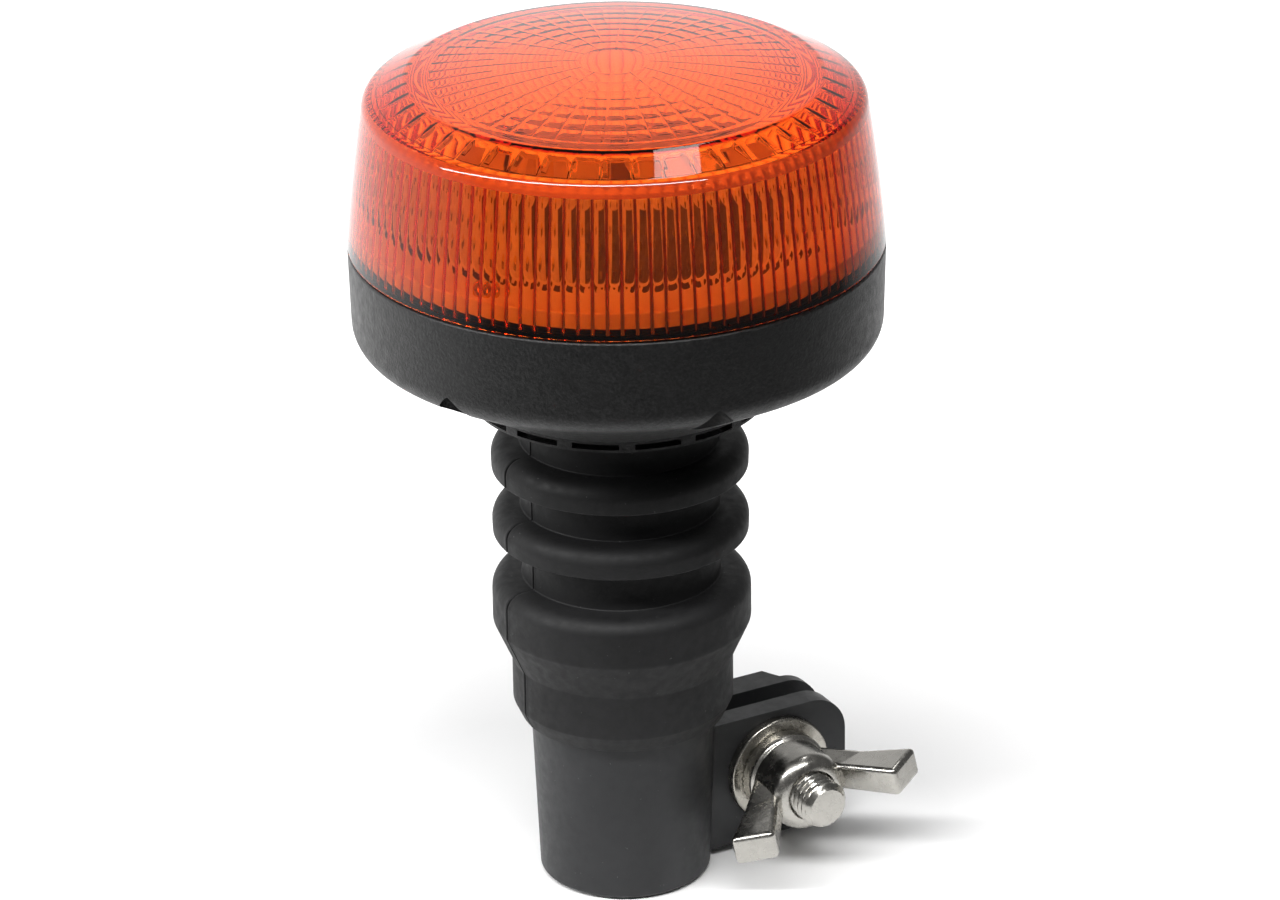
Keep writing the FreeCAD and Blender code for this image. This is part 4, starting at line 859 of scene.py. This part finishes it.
def outer_skin():
    """Profile up the bowed wall, over the rounded rim and the sloping band, then up the dome to its top."""
    wall = bowed((HEAD_RADIUS, LENS_FOOT), (RIM_RADIUS, RIM_LEVEL), WALL_CURVE, 12)
    inward = np.linspace(DOME_RADIUS - CREASE_ROUND, 0.0, 16)
    cap = np.stack([inward, dome(inward, DOME_RADIUS, DOME_LEVEL)], axis=-1)
    edges = [
        (*wall[-3],),
        (np.interp(RIM_GLOW_FOOT, wall[:, 1], wall[:, 0]), RIM_GLOW_FOOT),
        (RIM_RADIUS, RIM_LEVEL, RIM_ROUND),
        (DOME_RADIUS, DOME_LEVEL, CREASE_ROUND),
        (*cap[0],),
    ]
    profile = np.concatenate([wall[:-3], rounded(edges, 9), cap[1:]])
    angles = turn_of(OUTER_COLUMNS)
    points = around_axis(profile[:, 0], profile[:, 1], angles)
    return points, grid_faces(len(profile), OUTER_COLUMNS), angles


FLUTES = 112
FLUTE_STEPS = 16
FLUTE_CUTTER = 1.6
FLUTE_DEPTH = 0.75
FLUTE_FOOT = 0.3
FLUTE_STEP = 0.05
ARCH_ROOM = 1.7
FLUTE_TOP = CEILING - ARCH_ROOM - LENS_FOOT


def fluted_wall():
    """Inner wall, foot to ceiling: each flute is a round channel, deepest in its middle, that a ball end
    closes at its top, so its depth is the cutter's sphere beyond the wall's radius."""
    top = CEILING - LENS_FOOT
    arch = math.sqrt(FLUTE_CUTTER**2 - (FLUTE_CUTTER - FLUTE_DEPTH) ** 2)
    rows = np.concatenate(
        [
            [0.0, FLUTE_FOOT, FLUTE_FOOT + FLUTE_STEP],
            np.linspace(FLUTE_FOOT + FLUTE_STEP, FLUTE_TOP, 9)[1:],
            FLUTE_TOP + np.sin(np.linspace(0, math.pi / 2, 9))[1:] * arch,
            [top],
        ]
    )
    wall = bowed((HEAD_RADIUS - WALL_THICKNESS, 0.0), (RIM_INNER, top), WALL_CURVE, 60)
    radius = np.interp(rows, wall[:, 1], wall[:, 0])[:, None]
    angles = turn_of(FLUTES * FLUTE_STEPS)
    pitch = 2 * math.pi / FLUTES
    across = ((angles + pitch / 2) % pitch - pitch / 2) * radius
    beyond = np.clip(rows - FLUTE_TOP, 0, None)[:, None]
    inside = np.clip(FLUTE_CUTTER**2 - across**2 - beyond**2, 0, None)
    depth = np.clip(np.sqrt(inside) - (FLUTE_CUTTER - FLUTE_DEPTH), 0, None)
    depth *= (rows > FLUTE_FOOT + FLUTE_STEP / 2)[:, None]
    points = around_axis(radius + depth, LENS_FOOT + rows, angles)
    return points, grid_faces(len(rows), len(angles)), angles


TILE_BAND = (41.5, 45.1)
TILE_RISE = 0.12
TILE_SIDE = 0.2
TILE_SLOPE = 2.0
TILE_GAP = 0.3
SPOKES = 48
SPOKE_TURN = math.radians(-1.9)
SPOKE_STARTS = (6.95, 23.3, 11.05, 23.3)
SPOKE_END = 35.8
CLEAR_OF_SPOKES = 9.0
RINGS = np.array([6.95, 11.05, 15.15, 19.25, 23.3, 27.4, 31.5, 35.6])
LINE_HALF = 0.24
RING_RISE = 0.026
SPOKE_RISE = 0.04
LINE_SHARE = 0.3
STEP_RING = 37.8
STEP_HALF = 0.7
STEP_RISE = 0.08
MIDDLE_RINGS = [4.0, 1.5]
CEILING_EDGE = 0.4


def ridge(distance, half):
    """Height from 1 on a line to 0 at half its width away, with straight sides."""
    return np.clip(1 - np.abs(distance) / half, 0, 1)


def patterned_top():
    """Underside of the top, rim to axis: a smooth dome and slope, less the relief. Columns gather on each
    spoke at fixed distances across it, so that ridges, tile gaps and tile sides keep their width in
    millimetres at every radius."""
    low, high = TILE_BAND
    radius = np.concatenate(
        [
            (RINGS[:, None] + LINE_HALF * np.array([-1, 0, 1])).ravel(),
            STEP_RING + STEP_HALF * np.array([-1, 0, 1]),
            [low - TILE_SLOPE, low, high, high + TILE_SIDE, DOME_INNER, RIM_INNER - CEILING_EDGE],
            MIDDLE_RINGS,
        ]
    )
    radius = np.concatenate([np.sort(radius)[::-1], [0.0]])[:, None]
    pitch = 2 * math.pi / SPOKES
    near_tiles = radius > low - TILE_SLOPE - 0.01
    inner = np.where(near_tiles, TILE_GAP / 2, LINE_HALF / 2)
    outer = np.where(near_tiles, TILE_GAP / 2 + TILE_SIDE, LINE_HALF)
    squeeze = np.minimum(1.0, LINE_SHARE * pitch * radius / outer) / np.maximum(radius, 1e-6)
    line = np.concatenate([-outer, -inner, 0 * inner, inner, outer], axis=1)
    start = outer * squeeze
    quarters = start + (pitch - 2 * start) * np.array([0.25, 0.5, 0.75])
    turn = np.concatenate([line * squeeze, quarters], axis=1)
    spoke_turns = SPOKE_TURN + pitch * np.arange(SPOKES)
    angles = (spoke_turns[None, :, None] + turn[:, None]).reshape(len(radius), -1)
    across = np.concatenate([line, np.full(quarters.shape, CLEAR_OF_SPOKES)], axis=1)
    across = np.tile(across, (1, SPOKES))
    starts = np.repeat(np.tile(SPOKE_STARTS, SPOKES // len(SPOKE_STARTS)), turn.shape[1])
    spoke = ridge(across, LINE_HALF) * ((radius >= starts - 0.01) & (radius <= SPOKE_END))
    ring = ridge(np.abs(radius - RINGS).min(1), LINE_HALF)[:, None]
    tile = np.clip((np.abs(across) - TILE_GAP / 2) / TILE_SIDE, 0, 1)
    tile = tile * np.interp(radius, [low - TILE_SLOPE, low, high, high + TILE_SIDE], [0, 1, 1, 0])
    edge_level = DOME_LEVEL - TOP_THICKNESS
    slope = np.interp(radius, [DOME_INNER, RIM_INNER], [edge_level, CEILING])
    cap = dome(np.minimum(radius, DOME_INNER), DOME_INNER, edge_level)
    smooth = np.where(radius < DOME_INNER, cap, slope)
    step = STEP_RISE * ridge(radius - STEP_RING, STEP_HALF)
    relief = np.maximum(SPOKE_RISE * spoke, RING_RISE * ring) + TILE_RISE * tile + step
    points = around_axis(np.broadcast_to(radius, angles.shape), smooth - relief, angles)
    return points, grid_faces(*angles.shape), angles[0]


def ring_strip(lower, upper, lower_start, upper_start):
    """Triangles between two rings with their own angles: each step round either ring adds one triangle,
    whose third corner is the last point that the other ring has before the step's end."""
    lower_turn, upper_turn = (np.append(ring, ring[0] + 2 * math.pi) for ring in (lower, upper))
    below, above = np.arange(len(lower)), np.arange(len(upper))
    next_below, next_above = (below + 1) % len(lower), (above + 1) % len(upper)
    facing_up = np.clip(np.searchsorted(upper_turn, lower_turn[1:], "left") - 1, 0, None) % len(upper)
    facing_down = np.clip(np.searchsorted(lower_turn, upper_turn[1:], "right") - 1, 0, None) % len(lower)
    standing = [below + lower_start, next_below + lower_start, facing_up + upper_start]
    hanging = [facing_down + lower_start, next_above + upper_start, above + upper_start]
    return np.concatenate([np.stack(standing, axis=1), np.stack(hanging, axis=1)])


def lens_surface():
    """Outer skin, fluted wall and patterned top, each on its own grid, joined at the foot and the ceiling.
    Marks are 1 on the cusps between the flutes, where the lens paints a red line of shade."""
    skin, skin_faces, skin_turn = outer_skin()
    wall, wall_faces, wall_turn = fluted_wall()
    top, top_faces, top_turn = patterned_top()
    wall_start, top_start = len(skin), len(skin) + len(wall)
    foot = ring_strip(wall_turn, skin_turn, wall_start, 0)
    ceiling = ring_strip(wall_turn, top_turn, top_start - len(wall_turn), top_start)[:, ::-1]
    faces = [skin_faces, wall_faces[:, ::-1] + wall_start, top_faces[:, ::-1] + top_start, foot, ceiling]
    cusp_columns = np.arange(len(wall_turn)) % FLUTE_STEPS == FLUTE_STEPS // 2
    on_cusp = np.tile(cusp_columns, len(wall) // len(wall_turn))
    marks = np.concatenate([np.zeros(len(skin)), on_cusp, np.zeros(len(top))])
    return np.concatenate([skin, wall, top]), [face for part in faces for face in part.tolist()], marks


AMBER = (1.0, 0.8, 0.55)
CUSP_PAINTED_SHADE = (0.8, 0.1, 0.06)
DYE_COLOUR = (0.993, 0.563, 0.008, 1.0)
DYE_DENSITY = 730.0
ACRYLIC_IOR = 1.49
amber_lens, tree, shader = new_material("amber_lens", AMBER, 0.02)
shader.inputs["Transmission Weight"].default_value = 1.0
shader.inputs["IOR"].default_value = ACRYLIC_IOR
# Painted shade: the cusps between the flutes take a red base colour for the dark lines that the flutes cast.
cusp_shade_mark = tree.nodes.new("ShaderNodeAttribute")
cusp_shade_mark.attribute_name = "mark"
tree.links.new(two_tone(tree, cusp_shade_mark.outputs["Fac"], AMBER, CUSP_PAINTED_SHADE), shader.inputs["Base Color"])
tree.links.new(spread(tree, noise(tree, 0.4, 4.0), 0.0, 0.03), shader.inputs["Roughness"])
dye = tree.nodes.new("ShaderNodeVolumeAbsorption")
dye.inputs["Color"].default_value = DYE_COLOUR
dye.inputs["Density"].default_value = DYE_DENSITY
tree.links.new(dye.outputs["Volume"], tree.nodes["Material Output"].inputs["Volume"])
# The band under the rim takes a second material, a diffuse orange lit by the lamps: painted glow for the
# light carried inside the acrylic.
amber_rim_painted_glow, tree, shader = new_material("amber_rim_painted_glow", (0.58, 0.05, 0.007), 0.02)
shader.inputs["Transmission Weight"].default_value = 0.45
shader.inputs["IOR"].default_value = ACRYLIC_IOR
cloud = spread(tree, noise(tree, 0.05), 0.0, 1.0)
painted_glow_tone = two_tone(tree, cloud, (0.56, 0.047, 0.0065), (0.6, 0.053, 0.0075))
tree.links.new(painted_glow_tone, shader.inputs["Base Color"])
points, faces, marks = lens_surface()
lens = make_piece("lens_moulding", points, faces, amber_lens, 20.0, marks)
lens.data.materials.append(amber_rim_painted_glow)
middles = np.empty(len(lens.data.polygons) * 3)
lens.data.polygons.foreach_get("center", middles)
x, y, level = middles.reshape(-1, 3).T / MM
in_painted_glow_band = (np.hypot(x, y) > RIM_GLOW_RADIUS) & (level > RIM_GLOW_FOOT) & (level < RIM_GLOW_TOP)
lens.data.polygons.foreach_set("material_index", in_painted_glow_band.astype(np.int32))
seat(lens, "head", "lens")
PEG_RADIUS = 2.6
PEG_BORE = 1.52
PEG_RING = HEAD_RADIUS - 3.6
peg_corners = [
    (PEG_BORE, PEG_FOOT),
    (PEG_RADIUS, PEG_FOOT),
    (PEG_RADIUS, LENS_FOOT),
    (PEG_BORE, LENS_FOOT),
]
for index, turn in enumerate(np.radians(WELL_TURN + 60.0 * np.arange(6))):
    points, faces = turned_piece(peg_corners, 32)
    points += [PEG_RING * math.cos(turn), PEG_RING * math.sin(turn), 0.0]
    peg = make_piece(f"lens_peg_{index + 1}", points, faces, amber_lens)
    seat(peg, "head", "lens")

# Studio: a pale floor under the mouth of the socket that fades out, a white surround that is bright
# low behind at the left and dim in front, a small soft box high behind the light, and a long narrow one
# high in front at the left.

FLOOR_HALF = 0.6
FLOOR_FADE = (0.07, 0.2)
FLOOR_LEVEL = -0.0005
floor_mesh = bpy.data.meshes.new("floor")
floor_corners = np.array([(-1, -1, 0), (1, -1, 0), (1, 1, 0), (-1, 1, 0)]) * FLOOR_HALF + [0, 0, FLOOR_LEVEL]
floor_mesh.from_pydata(floor_corners.tolist(), [], [(0, 1, 2, 3)])
floor = bpy.data.objects.new("floor", floor_mesh)
bpy.context.scene.collection.objects.link(floor)
studio_floor, tree, shader = new_material("studio_floor", (0.97, 0.97, 0.97), 0.7, 0.0, 0.1)
tree.links.new(spread(tree, distance_from_axis(tree), 1.0, 0.0, *FLOOR_FADE), shader.inputs["Alpha"])
floor.data.materials.append(studio_floor)

VIEW_AZIMUTH = math.radians(-28.52)
toward_camera = Vector((math.sin(VIEW_AZIMUTH), -math.cos(VIEW_AZIMUTH), 0.0))
aside = Vector((math.cos(VIEW_AZIMUTH), math.sin(VIEW_AZIMUTH), 0.0))
upward = Vector((0.0, 0.0, 1.0))
BRIGHT_SIDE = (toward_camera * -0.75 - aside * 0.4 - upward * 0.55).normalized()
DIM_LIGHT = 0.12
BACK_LIGHT = 1.6
LIGHT_HEIGHT = 0.1
LIGHT_DISTANCE = 1.1
world = bpy.data.worlds.new("studio")
bpy.context.scene.world = world
world.use_nodes = True
tree = world.node_tree
background = tree.nodes["Background"]
background.inputs["Color"].default_value = (1.0, 1.0, 1.0, 1.0)
facing = place_along(tree, BRIGHT_SIDE, "Generated")
surround = spread(tree, facing, DIM_LIGHT, BACK_LIGHT, 0.0, 0.9)
rays = tree.nodes.new("ShaderNodeLightPath")
light = tree.nodes.new("ShaderNodeMath")
light.operation = "MAXIMUM"
tree.links.new(surround, light.inputs[0])
tree.links.new(rays.outputs["Is Camera Ray"], light.inputs[1])
tree.links.new(light.outputs["Value"], background.inputs["Strength"])


def softbox(name, direction, width, depth, power):
    """A rectangular area light that faces the object from a direction, its width level across the view."""
    light = bpy.data.lights.new(name, "AREA")
    light.shape = "RECTANGLE"
    light.size, light.size_y = width, depth
    light.energy = power
    box = bpy.data.objects.new(name, light)
    bpy.context.scene.collection.objects.link(box)
    back = direction.normalized()
    level = (aside - back * aside.dot(back)).normalized()
    turn = Matrix((level, back.cross(level), back)).transposed()
    box.matrix_world = Matrix.Translation(upward * LIGHT_HEIGHT + back * LIGHT_DISTANCE) @ turn.to_4x4()


high_behind = upward * 0.96 - toward_camera * 0.28 + aside * 0.175
high_in_front = upward * 0.82 + toward_camera * 0.57 - aside * 0.4
softbox("overhead_box", high_behind, width=0.14, depth=0.5, power=1.2)
softbox("key_box", high_in_front, width=3.0, depth=0.13, power=35.0)
bpy.context.scene.view_settings.view_transform = "Standard"

# Camera: the photograph's view, taken with a long lens from somewhat above. Its angles, distance and
# lens were found from the outlines of the round pieces.

VIEW_ELEVATION = math.radians(24.42)
VIEW_DISTANCE = 1149.2 * MM
VIEW_ROLL = math.radians(0.742)
AIM_ASIDE = 4.0 * MM
AIM_HEIGHT = 91.57 * MM
SENSOR_WIDTH = 36.0
FOCAL_LENGTH = 163.26
camera_data = bpy.data.cameras.new("camera")
camera_data.sensor_width = SENSOR_WIDTH
camera_data.lens = FOCAL_LENGTH
camera = bpy.data.objects.new("camera", camera_data)
bpy.context.scene.collection.objects.link(camera)
bpy.context.scene.camera = camera
back = toward_camera * math.cos(VIEW_ELEVATION) + upward * math.sin(VIEW_ELEVATION)
turn = Matrix((aside, back.cross(aside), back)).transposed() @ Matrix.Rotation(-VIEW_ROLL, 3, "Z")
place = aside * AIM_ASIDE + upward * AIM_HEIGHT + back * VIEW_DISTANCE
camera.matrix_world = Matrix.Translation(place) @ turn.to_4x4()
